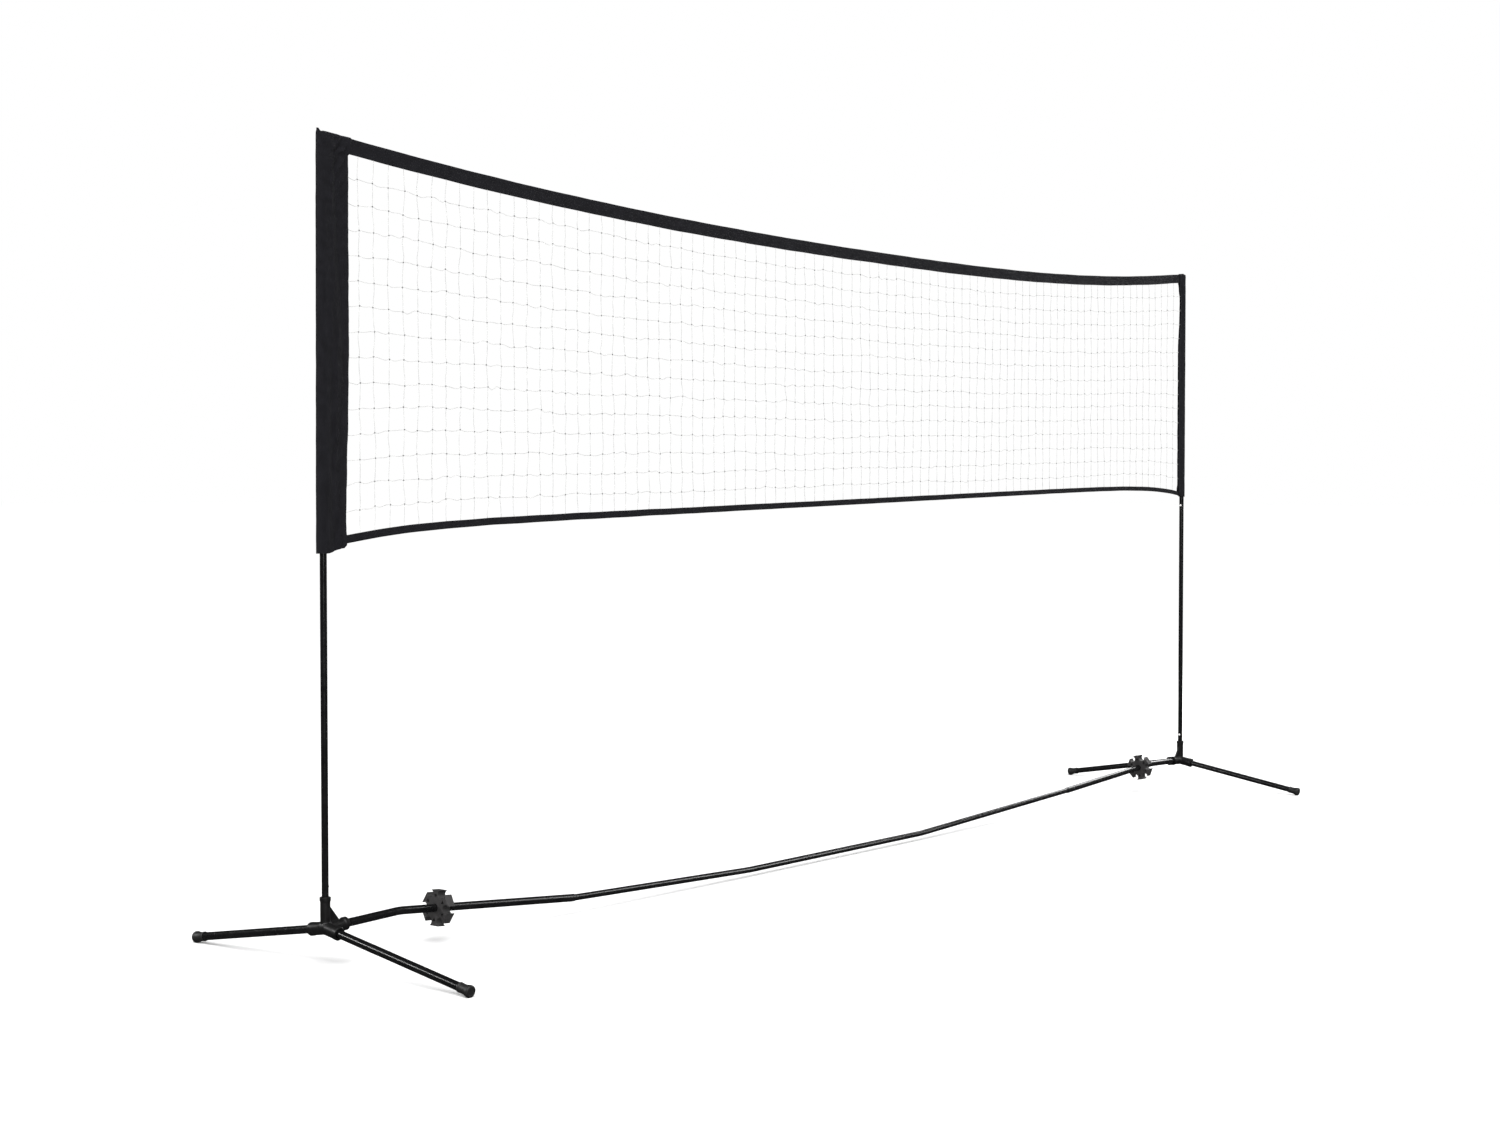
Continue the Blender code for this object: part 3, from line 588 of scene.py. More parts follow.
bore, stub_bore = POLE_RADIUS - POLE_WALL, STUB_RADIUS - POLE_WALL
cap_seat = POLE_TOP - CAP_HEAD - FIT
for side, axis in pole_frames.items():
    pole_tube(
        f"pole_tube_lower_{side}",
        [
            (POLE_RADIUS, POLE_FOOT), (POLE_RADIUS, POLE_JOINT - EDGE),
            (POLE_RADIUS - EDGE, POLE_JOINT), (STUB_RADIUS, POLE_JOINT),
            (STUB_RADIUS, POLE_JOINT + PLUG_LENGTH - LONG_EDGE),
            (STUB_RADIUS - EDGE, POLE_JOINT + PLUG_LENGTH),
        ],
        [
            (bore, POLE_FOOT),
            (bore, POLE_JOINT - 2 * TAPER),
            (stub_bore, POLE_JOINT - TAPER),
            (stub_bore, POLE_JOINT + PLUG_LENGTH),
        ],
        axis,
        (BUTTON_HEIGHTS["hub"], BUTTON_HEIGHTS["pole"]),
        f"pole_lower_{side}",
        body="lower_poles",
    )
    pole_tube(
        f"pole_tube_upper_{side}",
        [
            (POLE_RADIUS - FIT, POLE_JOINT + FIT),
            (POLE_RADIUS, POLE_JOINT + FIT + EDGE),
            (POLE_RADIUS, cap_seat),
        ],
        [(bore, POLE_JOINT + FIT), (bore, cap_seat)],
        axis,
        (BUTTON_HEIGHTS["pole"],),
        f"pole_upper_{side}",
        body="upper_poles",
    )
    low = HUB_HEIGHT + STUB_RISE
    pole_tube(
        f"stub_tube_{side}",
        [(STUB_RADIUS, low), (STUB_RADIUS, STUB_TOP - LONG_EDGE), (STUB_RADIUS - EDGE, STUB_TOP)],
        [(stub_bore, low), (stub_bore, STUB_TOP)],
        axis,
        (BUTTON_HEIGHTS["hub"],),
        f"hub_stub_{side}",
        body="base",
    )
    stem = bore - FIT
    cap = turned(
        f"pole_top_cap_{side}",
        [
            (0, cap_seat - CAP_STEM), (stem - 0.0006, cap_seat - CAP_STEM),
            (stem, cap_seat - CAP_STEM + 0.0012), (stem, cap_seat + FIT),
            (POLE_RADIUS - FIT, cap_seat + FIT), (POLE_RADIUS, cap_seat + 2 * FIT),
            (POLE_RADIUS, POLE_TOP - 0.0018), (POLE_RADIUS - 0.0006, POLE_TOP - 0.0008),
            (POLE_RADIUS - 0.0018, POLE_TOP - 0.0002), (POLE_RADIUS - 0.0035, POLE_TOP),
            (0, POLE_TOP),
        ],
        axis,
    )
    hand_over(cap, hub_satin, "hub_plastic", "upper_poles", f"pole_cap_{side}")

# Spring buttons: round-tipped nickel-plated pins on folded steel strips inside the tubes, which
# push them out through the holes. The strips are hidden, and keep their own shape.
BUTTON_ROOT, BUTTON_TIP, BUTTON_DOME = 0.0026, POLE_RADIUS + 0.0026, 0.0019
plated_steel = finish(
    "plated_steel", ((0.80, 0.79, 0.77), (0.90, 0.89, 0.88)), 0.002, (0.30, 0.42), 0.0003,
    0.00001, {"Metallic": 0.55},
)
strip_steel = finish(
    "strip_steel", ((0.36, 0.35, 0.34), (0.52, 0.51, 0.50)), 0.006, (0.25, 0.42), 0.0004, 0.00001,
    {"Metallic": 1.0}, (1, 1, 8),
)
for joint, height in BUTTON_HEIGHTS.items():
    for side, axis in pole_frames.items():
        arc = [math.radians(a) for a in range(0, 90, 9)]
        profile = [(0, BUTTON_ROOT), (BUTTON_RADIUS, BUTTON_ROOT)]
        profile += [
            (BUTTON_RADIUS * math.cos(a), BUTTON_TIP - BUTTON_DOME * (1 - math.sin(a)))
            for a in arc
        ]
        pin = turned(
            f"{joint}_pin_{side}",
            profile + [(0, BUTTON_TIP)],
            axis @ Matrix.Translation((0, 0, height)) @ ACROSS,
            sides=BUTTON_ROUND,
        )
        node = f"{joint}_button_{side}"
        hand_over(pin, plated_steel, "button_metal", node, node)
        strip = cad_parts[f"{joint}_spring_{side}"]
        strip.data.materials.clear()
        strip.data.materials.append(strip_steel)

# Storage clips: thick discs moulded in matt grey plastic, one on each end of the bar. Six round
# notches snap over the tubes when the net is packed away. Each lobe between them has a shallow
# three-sided pocket in both faces, where the moulding is hollowed out.
CLIP_THICKNESS, CLIP_EDGE = 0.020, 0.0007
LOBES = 6
NOTCH_RADIUS = LEG_RADIUS + 0.0008
NOTCH_CENTRE = 2 * NOTCH_RADIUS + 0.0134
NOTCH_MOUTH = LEG_RADIUS - 0.0012
NOTCH_STEPS = 29
CLIP_PLACES = {
    "left": (POLE_PLACES["left"] + 0.286, math.radians(30)),
    "right": (POLE_PLACES["right"] - 0.250, math.radians(40)),
}
clip_matt = finish(
    "clip_matt", ((0.0200, 0.0188, 0.0192), (0.0300, 0.0282, 0.0288)), 0.014, (0.50, 0.66),
    0.0005, 0.00006, {"Specular IOR Level": 0.35},
)
POCKET_DEPTH, POCKET_REACH = 0.0045, 0.0238
POCKET_FLOOR, POCKET_MOUTH = 0.0050, 0.0056  # centre to corner
notch_open = math.asin(NOTCH_MOUTH / NOTCH_RADIUS)
clip_outline = []
for number in range(LOBES):
    for angle in np.linspace(-notch_open, notch_open - 2 * math.pi, NOTCH_STEPS):
        round_notch = NOTCH_RADIUS * Vector((math.cos(angle), math.sin(angle)))
        point = Vector((NOTCH_CENTRE, 0)) + round_notch
        point.rotate(Matrix.Rotation(2 * math.pi / LOBES * number, 2))
        clip_outline.append(tuple(point))
for side, (x, turn) in CLIP_PLACES.items():
    clip = plate(f"notched_clip_{side}", clip_outline, CLIP_THICKNESS)
    long = CLIP_THICKNESS + CLEAR
    tools = [turned("axle", [(0, -long), (SOCKET_RADIUS, -long), (SOCKET_RADIUS, long), (0, long)])]
    low = CLIP_THICKNESS / 2 - POCKET_DEPTH
    high = low + CLEAR
    pocket = [(0, low), (POCKET_FLOOR, low), (POCKET_MOUTH, high), (0, high)]
    for number in range(LOBES):
        lobe = Matrix.Rotation(2 * math.pi / LOBES * (number + 0.5), 4, "Z")
        for face in (0, 1):
            flip = Matrix.Rotation(math.pi * face, 4, "X") @ Matrix.Rotation(math.pi, 4, "Z")
            place = lobe @ Matrix.Translation((POCKET_REACH, 0, 0)) @ flip
            tools.append(turned("pocket", pocket, place, sides=3))
    boolean(clip, joined("clip_tools", tools), "DIFFERENCE")
    apply_modifier(
        clip, "BEVEL", width=CLIP_EDGE, segments=3, limit_method="ANGLE", angle_limit=SHARP
    )
    centre, up = bar_place(x)
    tilt = math.atan2(up.z, up.x)
    place = Matrix.Translation(centre) @ Matrix.Rotation(-tilt, 4, "Y")
    settle(clip, place @ Matrix.Rotation(turn, 4, "Z"))
    apply_modifier(clip, "WEIGHTED_NORMAL", keep_sharp=True)
    hand_over(clip, clip_matt, "clip_plastic", f"clip_{side}", f"storage_clip_{side}")

# Sleeves: a strip of black woven polyester folded round each pole and sewn to the net's side.
# The top is stitched shut over the pole cap, the bottom is hemmed, and the loose cloth beside the
# pole hangs in soft folds. The left one lies flat, and the right one is drawn in to its pole.
SLEEVE_LENGTHS = {"left": 0.774, "right": 0.670}
SLEEVE_REACHES = {"left": 0.056, "right": 0.025}  # pole axis to the inner edge
SLEEVE_CUTS = {"left": (0.162, 0.775), "right": (0.092, 0.670)}
SLEEVE_BENDS = {"left": 0.30, "right": 0.46}  # share of the cloth that goes round the pole
SLEEVE_GRIDS = {"left": (96, 250), "right": (80, 250)}
SLEEVE_ROUND = 0.0085  # pole axis to the outside of the cloth
SLEEVE_CLOTH, SLEEVE_FLAT = 0.0009, 0.00105  # its thickness, and half of two layers sewn flat
BAND_END = 0.030  # how far the bands' ends reach from the top and the bottom
SEAM_MARGIN = {"left": 0.0075, "right": 0.0050}  # inner edge to the seam beside it
HEM = 0.020  # bottom edge to the hem's stitches
NET_TOP = 1.548
SAG, SAG_PLACE, SAG_POWER = 0.0635, 0.54, 2.3
SAG_TRIM = (
    (0, 0.0045), (0.02, 0.0048), (0.04, 0.0036), (0.07, 0.0020), (0.11, 0.0004), (0.16, -0.0010),
    (0.24, -0.0020), (0.34, -0.0030), (0.45, -0.0036), (0.55, -0.0036), (0.65, -0.0042),
    (0.75, -0.0045), (0.83, -0.0036), (0.90, -0.0018), (0.95, 0.0004), (0.98, 0.0022), (1, 0.0026),
)  # share of the span, and how far the edge lies above the even curve
woven_black = bpy.data.materials.new("woven_black")


def weave(made, tones, thread, height, fixed):
    """A plain weave on the cloth's own lengthwise and crosswise directions, which its UV map
    holds in metres, with a few paler slubs and soft patches."""
    made.use_nodes = True
    nodes, links = made.node_tree.nodes, made.node_tree.links
    shader = nodes["Principled BSDF"]
    where = add_node(nodes, "TexCoord")
    over = add_node(nodes, "Math")
    over.operation = "MAXIMUM"
    for direction, socket in zip("XY", over.inputs):
        wave = add_node(nodes, "TexWave", Distortion=1.2, Detail=1.0, Detail_Scale=0.6)
        wave.inputs["Scale"].default_value = math.pi / 10 / thread
        wave.bands_direction = direction
        links.new(where.outputs["UV"], wave.inputs["Vector"])
        links.new(wave.outputs["Fac"], socket)
    patches = add_node(nodes, "TexNoise", Scale=45, Detail=6)
    links.new(where.outputs["UV"], patches.inputs["Vector"])
    blend = add_node(nodes, "Math")
    blend.operation = "MULTIPLY_ADD"
    blend.inputs[1].default_value = 0.45
    links.new(over.outputs["Value"], blend.inputs[0])
    spread = add_node(nodes, "MapRange", From_Min=NOISE_LOW, From_Max=NOISE_HIGH, To_Max=0.55)
    links.new(patches.outputs["Fac"], spread.inputs["Value"])
    links.new(spread.outputs["Result"], blend.inputs[2])
    tone = add_node(nodes, "ValToRGB")
    for stop, colour in zip(tone.color_ramp.elements, tones):
        stop.color = (*colour, 1)
    links.new(blend.outputs["Value"], tone.inputs["Fac"])
    links.new(tone.outputs["Color"], shader.inputs["Base Color"])
    shine = add_node(nodes, "MapRange", To_Min=0.94, To_Max=0.74)
    links.new(over.outputs["Value"], shine.inputs["Value"])
    links.new(shine.outputs["Result"], shader.inputs["Roughness"])
    bump = add_node(nodes, "Bump", Strength=0.7, Distance=height)
    links.new(over.outputs["Value"], bump.inputs["Height"])
    links.new(bump.outputs["Normal"], shader.inputs["Normal"])
    for socket, value in fixed.items():
        shader.inputs[socket].default_value = value


weave(
    woven_black,
    ((0.0030, 0.0029, 0.0040), (0.0088, 0.0086, 0.0112)),
    0.00055,
    0.00012,
    {"Specular IOR Level": 0.12, "Sheen Weight": 0.006, "Sheen Roughness": 0.45},
)


def ease(share):
    """A smooth step from 0 to 1."""
    share = min(max(share, 0.0), 1.0)
    return share * share * (3 - 2 * share)


def rough(x, y, seed):
    """Smooth random values from about -1 to 1."""
    return noise.noise(Vector((x, y, seed * 7.31)))


def top_edge(x):
    """Height of the net's top edge."""
    share = (x - POLE_PLACES["left"]) / SPAN
    half = SAG_PLACE if share < SAG_PLACE else 1 - SAG_PLACE
    slack = float(np.interp(share, *zip(*SAG_TRIM)))
    return NET_TOP + slack - SAG * (1 - abs((share - SAG_PLACE) / half) ** SAG_POWER)


def cloth(name, across, along, fold, flat, thickness):
    """A sheet laid flat as a grid and folded into shape. fold gives the point for each share of
    the width and of the length, and flat is the size it was cut to."""
    start_fresh()
    bpy.ops.mesh.primitive_grid_add(x_subdivisions=across, y_subdivisions=along, size=2)
    piece = bpy.context.object
    piece.name = piece.data.name = name
    for corner in piece.data.uv_layers.active.data:
        corner.uv = (corner.uv[0] * flat[0], corner.uv[1] * flat[1])
    for point in piece.data.vertices:
        point.co = fold((point.co.x + 1) / 2, (point.co.y + 1) / 2)
    apply_modifier(piece, "SOLIDIFY", thickness=thickness, offset=-1, use_even_offset=True)
    return settle(piece, angle=60)


def sleeve_fold(side):
    """The fold of one sleeve: across runs from the front of the inner edge round the pole to
    its back, and along from the hem up to the top seam."""
    first = side == "left"
    length, reach, margin = SLEEVE_LENGTHS[side], SLEEVE_REACHES[side], SEAM_MARGIN[side]
    bend = SLEEVE_BENDS[side]
    inwards, seed = (1, 1) if first else (-1, 2)

    def fold(across, along):
        down = length * (0.5 * (1 - along) + 0.5 * (1 - along) ** 2)  # distance from the top
        share = down / length
        outer = SLEEVE_ROUND + (0.0058 * share**0.8 - 0.0004 if first else 0.0012 * ease(share * 3))
        outer += 0.0006 * rough(down / 0.05, 0, seed)
        inner = reach + 0.0010 * rough(down / 0.045, 3, seed)
        inner += 0.0005 * rough(down / 0.012, 5, seed)
        if first:
            inner += 0.0065 * (1 - ease((share - 0.45) / 0.5)) - 0.0022 * ease((share - 0.6) / 0.4)
            inner += 0.0085 * (1 - ease((down - 0.024) / 0.012))
        else:
            inner -= 0.0085 * ease((down - BAND_END) / 0.05) * (1 - ease((down - 0.09) / 0.16))
            inner += 0.0016 * rough(down / 0.09, 8, seed)
        inner -= 0.006 * (1 - min(1.0, (length - down) / 0.007)) ** 2  # rounded bottom corner
        half = abs(2 * across - 1)
        front = 1 if across < 0.5 else -1
        if half < bend:
            turn = half / bend * math.pi / 2
            place, thick = -outer * math.cos(turn), SLEEVE_ROUND * math.sin(turn)
        else:
            place = inner * (half - bend) / (1 - bend)
            seam = inner - margin
            thick = 0.0011 + (SLEEVE_ROUND - 0.0011) * (1 - ease(place / seam))
            welt = max(0.0, place - seam) / margin
            thick += 0.0010 * math.sin(math.pi * min(1.0, welt)) + 0.0005 * ease(welt * 4)
        loose = ease((place - 0.004) / (0.3 * reach))
        loose *= 1 - 0.9 * ease((place - inner + 0.014) / 0.009)
        tie = 1 - ease((0.012 - down) / 0.012)
        billow = 0.0
        if first:
            billow += 0.0042 * rough(place / 0.017, down / 0.19, seed + front * 0.7)
            corner = math.hypot(place - inner, down - BAND_END)
            slant = (place - inner) * 0.80 + (down - BAND_END) * 0.60
            billow += 0.0030 * math.sin(slant / 0.0030 + 1.5 * front) * math.exp(-corner / 0.060)
            billow += 0.0019 * rough(place / 0.011, down / 0.034, seed + 11 + front)
            base = 1 - ease((length - down - 0.004) / 0.055)
            billow += 0.0024 * base * rough(place / 0.009, down / 0.06, seed + 21 + front)
        else:
            billow += 0.0019 * rough(place / 0.009, down / 0.055, seed + front * 0.7)
            billow += 0.0012 * rough(place / 0.006 + down / 0.02, down / 0.020, seed + 11 + front)
        pucker = math.exp(-abs(inner - margin - place) / 0.007)
        billow += 0.00055 * pucker * math.sin(down / 0.0026 + 3 * rough(down / 0.05, 1, seed))
        thick += tie * (loose * billow + 0.0004 * (1 + rough(place / 0.006, down / 0.02, seed + 5)))
        hem = abs(length - down - HEM)
        thick -= 0.0004 * math.exp(-((hem / 0.0014) ** 2)) * loose
        thick += 0.0004 * loose * ease((HEM + 0.001 - (length - down)) / 0.002)
        thick = max(thick, SLEEVE_FLAT)
        tape = max(1 - ease((down - BAND_END) / 0.005), ease((BAND_END - (length - down)) / 0.005))
        thick += 0.0016 * tape * ease((place - reach + 0.010) / 0.005)  # over the band's end
        x = POLE_PLACES[side] + inwards * place
        edge = top_edge(x) + 0.0018
        if first:
            edge += 0.0038 * max(0.0, 1 - (place + outer) / 0.0060) ** 1.3
            edge -= 0.0030 * math.exp(-(((place + 0.0015) / 0.0032) ** 2))
            lift = 0.0100 * ease(place / reach)
        else:
            edge += 0.0010 - 0.0060 * max(0.0, 1 - (place + outer) / 0.0065) ** 2
            lift = 0.0040 * ease(place / reach)
        edge += 0.0005 * rough(place / 0.008, 0, seed + 30)
        thick = SLEEVE_FLAT + (thick - SLEEVE_FLAT) * ease(down / 0.0052)
        height = edge - down * (1 + (edge - NET_TOP - lift) / length)
        return Vector((x, -front * thick, height))

    return fold


def copies(name, template, places):
    """One object that holds a copy of the template's mesh at each place."""
    points = np.array([p.co[:] for p in template.data.vertices])
    faces = [list(f.vertices) for f in template.data.polygons]
    moved, made = [], []
    for number, place in enumerate(places):
        turn, shift = np.array(place.to_3x3()), np.array(place.translation)
        moved.append(points @ turn.T + shift)
        made += [[v + number * len(points) for v in face] for face in faces]
    mesh = bpy.data.meshes.new(name)
    mesh.from_pydata(np.concatenate(moved).tolist(), [], made)
    bpy.data.objects.remove(template)
    piece = bpy.data.objects.new(name, mesh)
    bpy.context.scene.collection.objects.link(piece)
    return settle(piece, angle=60)


STITCH = (0.0013, 0.00030, 0.00026)  # half its length, width and height
SLEEVE_PITCH = 0.0034  # stitch to stitch


def stitch():
    """One stitch of sewing thread: a slim grain along X that sinks into the cloth at its ends."""
    start_fresh()
    bpy.ops.mesh.primitive_uv_sphere_add(segments=6, ring_count=4, radius=1)
    grain = bpy.context.object
    bpy.ops.object.mode_set(mode="EDIT")
    bpy.ops.transform.rotate(value=math.pi / 2, orient_axis="Y", center_override=(0, 0, 0))
    bpy.ops.transform.resize(value=STITCH, center_override=(0, 0, 0))
    bpy.ops.object.mode_set(mode="OBJECT")
    return grain


def sewn(fold, route, pitch=SLEEVE_PITCH):
    """Places for stitches along a route of (across, along) shares on a folded cloth."""
    places = []
    line = [Vector(fold(*step)) for step in route]
    walked = np.cumsum([0.0] + [(b - a).length for a, b in zip(line, line[1:])])
    for distance in np.arange(pitch / 2, walked[-1], pitch):
        across = float(np.interp(distance, walked, [r[0] for r in route]))
        along = float(np.interp(distance, walked, [r[1] for r in route]))
        here = fold(across, along)
        step_across = fold(min(across + 0.002, 1), along) - fold(max(across - 0.002, 0), along)
        step_along = fold(across, min(along + 0.002, 1)) - fold(across, max(along - 0.002, 0))
        out = step_across.cross(step_along).normalized()
        ahead = Vector(
            [np.interp(distance + 0.0005, walked, [p[i] for p in line]) for i in range(3)]
        ) - Vector([np.interp(distance - 0.0005, walked, [p[i] for p in line]) for i in range(3)])
        ahead = (ahead - ahead.dot(out) * out).normalized()
        turn = Matrix((ahead, out.cross(ahead), out)).transposed().to_4x4()
        places.append(Matrix.Translation(here + 0.00008 * out) @ turn)
    return places


sewing_thread = finish(
    "sewing_thread", ((0.011, 0.011, 0.012), (0.024, 0.024, 0.026)), 0.004, (0.45, 0.65), 0.0003,
    0.00004,
)
for side in POLE_PLACES:
    fold, cut, bend = sleeve_fold(side), SLEEVE_CUTS[side], SLEEVE_BENDS[side]
    sleeve = cloth(f"sleeve_cloth_{side}", *SLEEVE_GRIDS[side], fold, cut, SLEEVE_CLOTH)
    hand_over(sleeve, woven_black, "band_fabric", "net", f"sleeve_{side}")
    seam = bend + (1 - bend) * (1 - SEAM_MARGIN[side] / SLEEVE_REACHES[side])
    places = []
    for across in ((1 - seam) / 2, (1 + seam) / 2):
        places += sewn(fold, [(across, step) for step in np.linspace(0.004, 0.985, 300)])
    low = 1 - (-1 + math.sqrt(1 + 8 * (1 - HEM / SLEEVE_LENGTHS[side]))) / 2
    places += sewn(fold, [(step, low) for step in np.linspace(0.01, 0.99, 200)])
    stitches = copies(f"sleeve_stitches_{side}", stitch(), places)
    hand_over(stitches, sewing_thread, "band_fabric", "net")

# Bands: a polyester tape folded lengthwise over the net's top edge, and a narrower one under its
# bottom edge. Each is sewn near its fold and near its open edges, and runs into the sleeves.
BAND_HOLD = 0.004  # how far a band runs into a sleeve
BAND_STARTS = POLE_PLACES["left"] + SLEEVE_REACHES["left"] - BAND_HOLD
BAND_ENDS = POLE_PLACES["right"] - SLEEVE_REACHES["right"] + BAND_HOLD
SWAY_HELD = 0.25  # distance from the ends over which the net starts to sway
# half of a tape's thickness, at stations from its fold to its open edges
TAPE_HALVES = (0.0001, 0.0012, 0.0015, 0.00105, 0.0012, 0.0012, 0.0010, 0.0015, 0.00115)
TAPE_CLOTH, TAPE_STEPS, TAPE_BEND = 0.0008, 620, 0.25  # the last is where its taper changes
TAPE_PITCH = 0.0042  # stitch to stitch
NET_DEPTHS = (0.766, 0.668)
BOTTOM_RISE, BOTTOM_POWER = 0.030, 10


def bottom_edge(x):
    """Height of the net's bottom edge."""
    share = (x - POLE_PLACES["left"]) / SPAN
    depth = NET_DEPTHS[0] + (NET_DEPTHS[1] - NET_DEPTHS[0]) * share
    return NET_TOP - depth + BOTTOM_RISE * (1 - abs(2 * share - 1) ** BOTTOM_POWER)


def sway(x, z):
    """How far the net hangs out of its plane."""
    held = ease((x - BAND_STARTS) / SWAY_HELD) * ease((BAND_ENDS - x) / SWAY_HELD)
    return held * 0.0045 * rough(x / 0.55, z / 0.6, 4)


def band_fold(width, near_edge, fold_up):
    """The fold of a band: across runs from the front's open edge over the fold to the back's,
    and along from the left sleeve to the right one."""
    edge_at = top_edge if fold_up else bottom_edge

    def fold(across, along):
        x = BAND_STARTS + (BAND_ENDS - BAND_STARTS) * along
        wide = np.interp(along, (0, TAPE_BEND, 1), width)
        half = 1 - abs(2 * across - 1)
        down = wide * (1 - half)
        stations = (0, 0.0006, 0.0017, near_edge, near_edge + 0.0025)
        stations += (wide - near_edge - 0.0022, wide - near_edge, wide - 0.0016, wide)
        thick = np.interp(down, stations, TAPE_HALVES)
        front = -1 if across < 0.5 else 1
        wavy = 0.0004 * rough(x / 0.05, down / 0.02, 12 + fold_up)
        thick += 0.00018 * rough(x / 0.011, down / 0.006, 14 + front + fold_up) + max(0, wavy) * 0.5
        edge = edge_at(x) + 0.0006 * rough(x / 0.08, 0, 16 + fold_up)
        stretch = 1 + 0.03 * rough(x / 0.12, 0, 18 + fold_up)
        z = edge - down * stretch if fold_up else edge + down * stretch
        turned_side = front if fold_up else -front
        return Vector((x, sway(x, z) + turned_side * thick + wavy, z))

    return fold


BANDS = (
    ("top_tape", "top_band", (0.028, 0.0275, 0.0245), 0.0036, True),
    ("bottom_tape", "bottom_band", (0.0140, 0.0130, 0.0108), 0.0028, False),
)
for name, node, width, near_edge, fold_up in BANDS:
    fold = band_fold(width, near_edge, fold_up)
    cut = (2 * width[1], BAND_ENDS - BAND_STARTS)
    tape = cloth(name, 28 if fold_up else 20, TAPE_STEPS, fold, cut, TAPE_CLOTH)
    hand_over(tape, woven_black, "band_fabric", "net", node)
    places = []
    for down in (near_edge, width[1] - near_edge):
        share = 1 - down / width[1]
        for across in (share / 2, 1 - share / 2):
            route = [(across, step) for step in np.linspace(0.002, 0.998, 700)]
            places += sewn(fold, route, TAPE_PITCH)
    stitches = copies(f"{name}_stitches", stitch(), places)
    hand_over(stitches, sewing_thread, "band_fabric", "net")

# The net: white twine knotted into upright meshes about 37 mm wide and 47 mm tall. Each crossing
# is a small hard knot. The twine is soft, so it wanders a little from one knot to the next, and
# its ends are sewn into the bands and the sleeves.
MESHES_ACROSS, MESHES_DOWN = 88, 15
TWINE = 0.00062  # radius
KNOT = 0.00165  # radius
twine_white = finish(
    "twine_white", ((0.40, 0.40, 0.40), (0.55, 0.55, 0.54)), 0.02, (0.60, 0.80), 0.0005, 0.00015,
    {"Specular IOR Level": 0.25, "Sheen Weight": 0.1},
)
# The knots are the same white twine, given much darker tones: painted shade in the folds of each
# knot.
knot_painted_shade = finish(
    "knot_painted_shade", ((0.10, 0.10, 0.10), (0.18, 0.18, 0.18)), 0.01, (0.60, 0.80), 0.0004, 0.00020,
    {"Specular IOR Level": 0.25},
)
chance = np.random.default_rng(41)
wander = chance.normal(0, 1, (MESHES_ACROSS + 1, MESHES_DOWN + 1, 3))
bows = chance.normal(0, 1, (MESHES_ACROSS + 1, MESHES_DOWN + 1, 6))
STRING_HOLD = 0.004  # how far a string runs into a sleeve
TAPER_CHANGE = -0.86  # about where along the net the bands' taper changes
STRING_REACH = 0.003  # how far a string runs into a band
sleeve_edges = {}
for side in POLE_PLACES:
    line = [sleeve_fold(side)(0, step) for step in np.linspace(0, 1, 160)]
    sleeve_edges[side] = ([point.z for point in line], [point.x for point in line])


def knot_place(column, row):
    """Where two strings cross."""
    left, right = BAND_STARTS + 0.001, BAND_ENDS - 0.001
    x = left + (right - left) * column / MESHES_ACROSS
    top_tape, bottom_tape = (np.interp(x, (left, TAPER_CHANGE, right), band[2]) for band in BANDS)
    upper = top_edge(x) - float(top_tape) + STRING_REACH
    lower = bottom_edge(x) + float(bottom_tape) - STRING_REACH
    z = upper + (lower - upper) * row / MESHES_DOWN
    if 0 < row < MESHES_DOWN and 0 < column < MESHES_ACROSS:
        shift = wander[column, row]
        x += 0.0016 * shift[0] + 0.0025 * rough(column / 6, row / 2.5, 50)
        z += 0.0014 * shift[1] + 0.0040 * rough(column / 7, row / 3, 51)
    elif 0 < row < MESHES_DOWN:
        side, into = ("right", STRING_HOLD) if column else ("left", -STRING_HOLD)
        x = float(np.interp(z, *sleeve_edges[side])) + into
    return Vector((x, sway(x, z), z))


def string_place(column, row):
    """A point on the strings: a whole row is on a string across, a whole column on one down."""
    c, r = int(column + 1e-6), int(row + 1e-6)
    c_part, r_part = column - c, row - r
    here = knot_place(c, r)
    if c_part > 1e-4:
        part, ahead, bow = c_part, knot_place(c + 1, r), bows[c, r][:3]
        across = Vector((0, 0.4, 1))
    elif r_part > 1e-4:
        part, ahead, bow = r_part, knot_place(c, r + 1), bows[c, r][3:]
        across = Vector((1, 0.4, 0))
    else:
        return here
    arch = math.sin(math.pi * part)
    swing = 0.0012 * bow[0] * arch + 0.0011 * bow[1] * math.sin(2 * math.pi * part)
    drop = Vector((0, 0, -0.0012 * arch if c_part > 1e-4 else 0))
    return here.lerp(ahead, part) + across * swing + drop


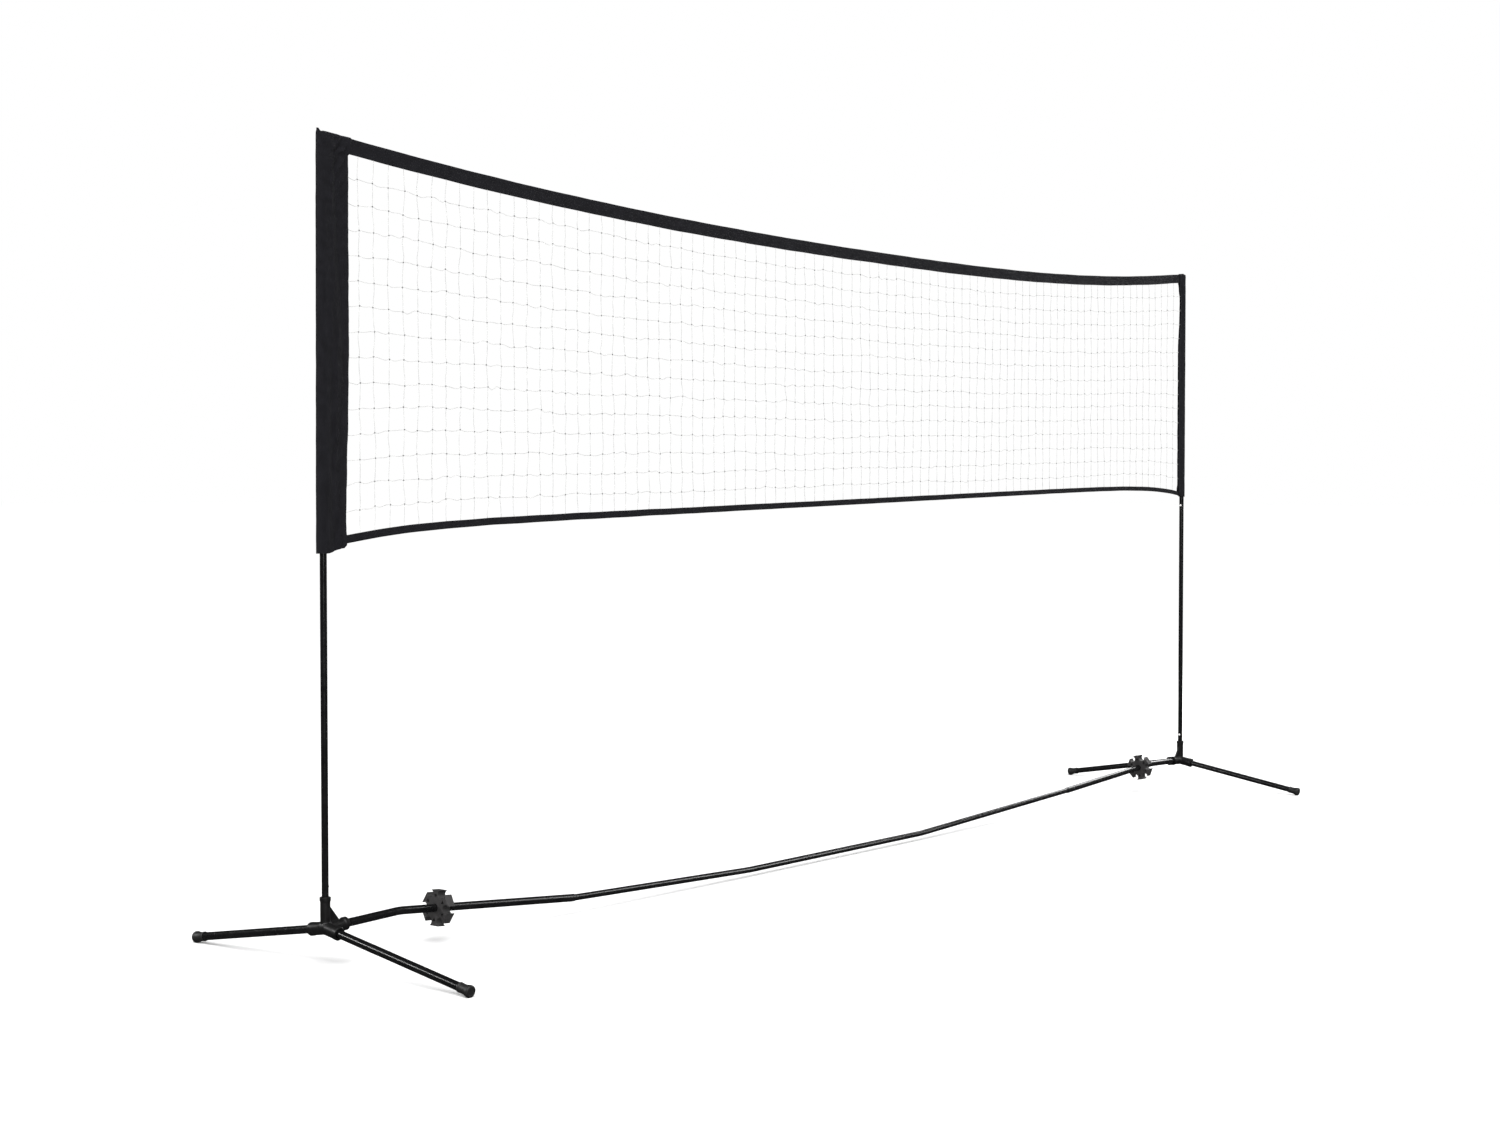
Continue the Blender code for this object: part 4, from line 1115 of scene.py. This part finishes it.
start_fresh()
bpy.ops.mesh.primitive_grid_add(
    x_subdivisions=MESHES_ACROSS, y_subdivisions=MESHES_DOWN, size=2, calc_uvs=False
)
net = bpy.context.object
net.name = net.data.name = "knotted_net"
bpy.ops.object.mode_set(mode="EDIT")
bpy.ops.mesh.select_all(action="SELECT")
bpy.ops.mesh.delete(type="ONLY_FACE")
bpy.ops.object.mode_set(mode="OBJECT")
for edge in net.data.edges:
    ends = [net.data.vertices[v].co for v in edge.vertices]
    middle = (ends[0] + ends[1]) / 2
    edge.select = abs(middle.x) > 0.9999 or abs(middle.y) > 0.9999
bpy.ops.object.mode_set(mode="EDIT")
bpy.ops.mesh.select_mode(type="EDGE")
bpy.ops.mesh.delete(type="EDGE")
bpy.ops.mesh.select_all(action="SELECT")
bpy.ops.mesh.subdivide(number_cuts=3)
bpy.ops.mesh.select_mode(type="VERT")
bpy.ops.object.mode_set(mode="OBJECT")
for point in net.data.vertices:
    column, row = (point.co.x + 1) / 2 * MESHES_ACROSS, (1 - point.co.y) / 2 * MESHES_DOWN
    point.co = string_place(round(column * 4) / 4, round(row * 4) / 4)
take_up(net)
bpy.ops.object.convert(target="CURVE")
net.data.dimensions = "3D"
net.data.fill_mode = "FULL"
net.data.bevel_depth = TWINE
net.data.bevel_resolution = 1
net.data.use_fill_caps = True
bpy.ops.object.convert(target="MESH")
net = bpy.context.object
settle(net, angle=70)
hand_over(net, twine_white, "net_string", "net", "net_mesh")

start_fresh()
bpy.ops.mesh.primitive_uv_sphere_add(segments=7, ring_count=5, radius=KNOT)
knot = bpy.context.object
for point in knot.data.vertices:
    lobes = 1 + 0.28 * math.sin(3 * math.atan2(point.co.y, point.co.x) + point.co.z * 900)
    point.co = Vector((point.co.x * lobes, point.co.y * 0.75 * lobes, point.co.z * 0.95))
knot_places = []
for column in range(1, MESHES_ACROSS):
    for row in range(1, MESHES_DOWN):
        turn = Matrix.Rotation(bows[column, row, 0] * 0.5 + 0.6, 4, "Y")
        turn = turn @ Matrix.Rotation(bows[column, row, 4] * 0.7, 4, "Z")
        knot_places.append(Matrix.Translation(knot_place(column, row)) @ turn)
knots = copies("net_knots", knot, knot_places)
hand_over(knots, knot_painted_shade, "net_string", "net")
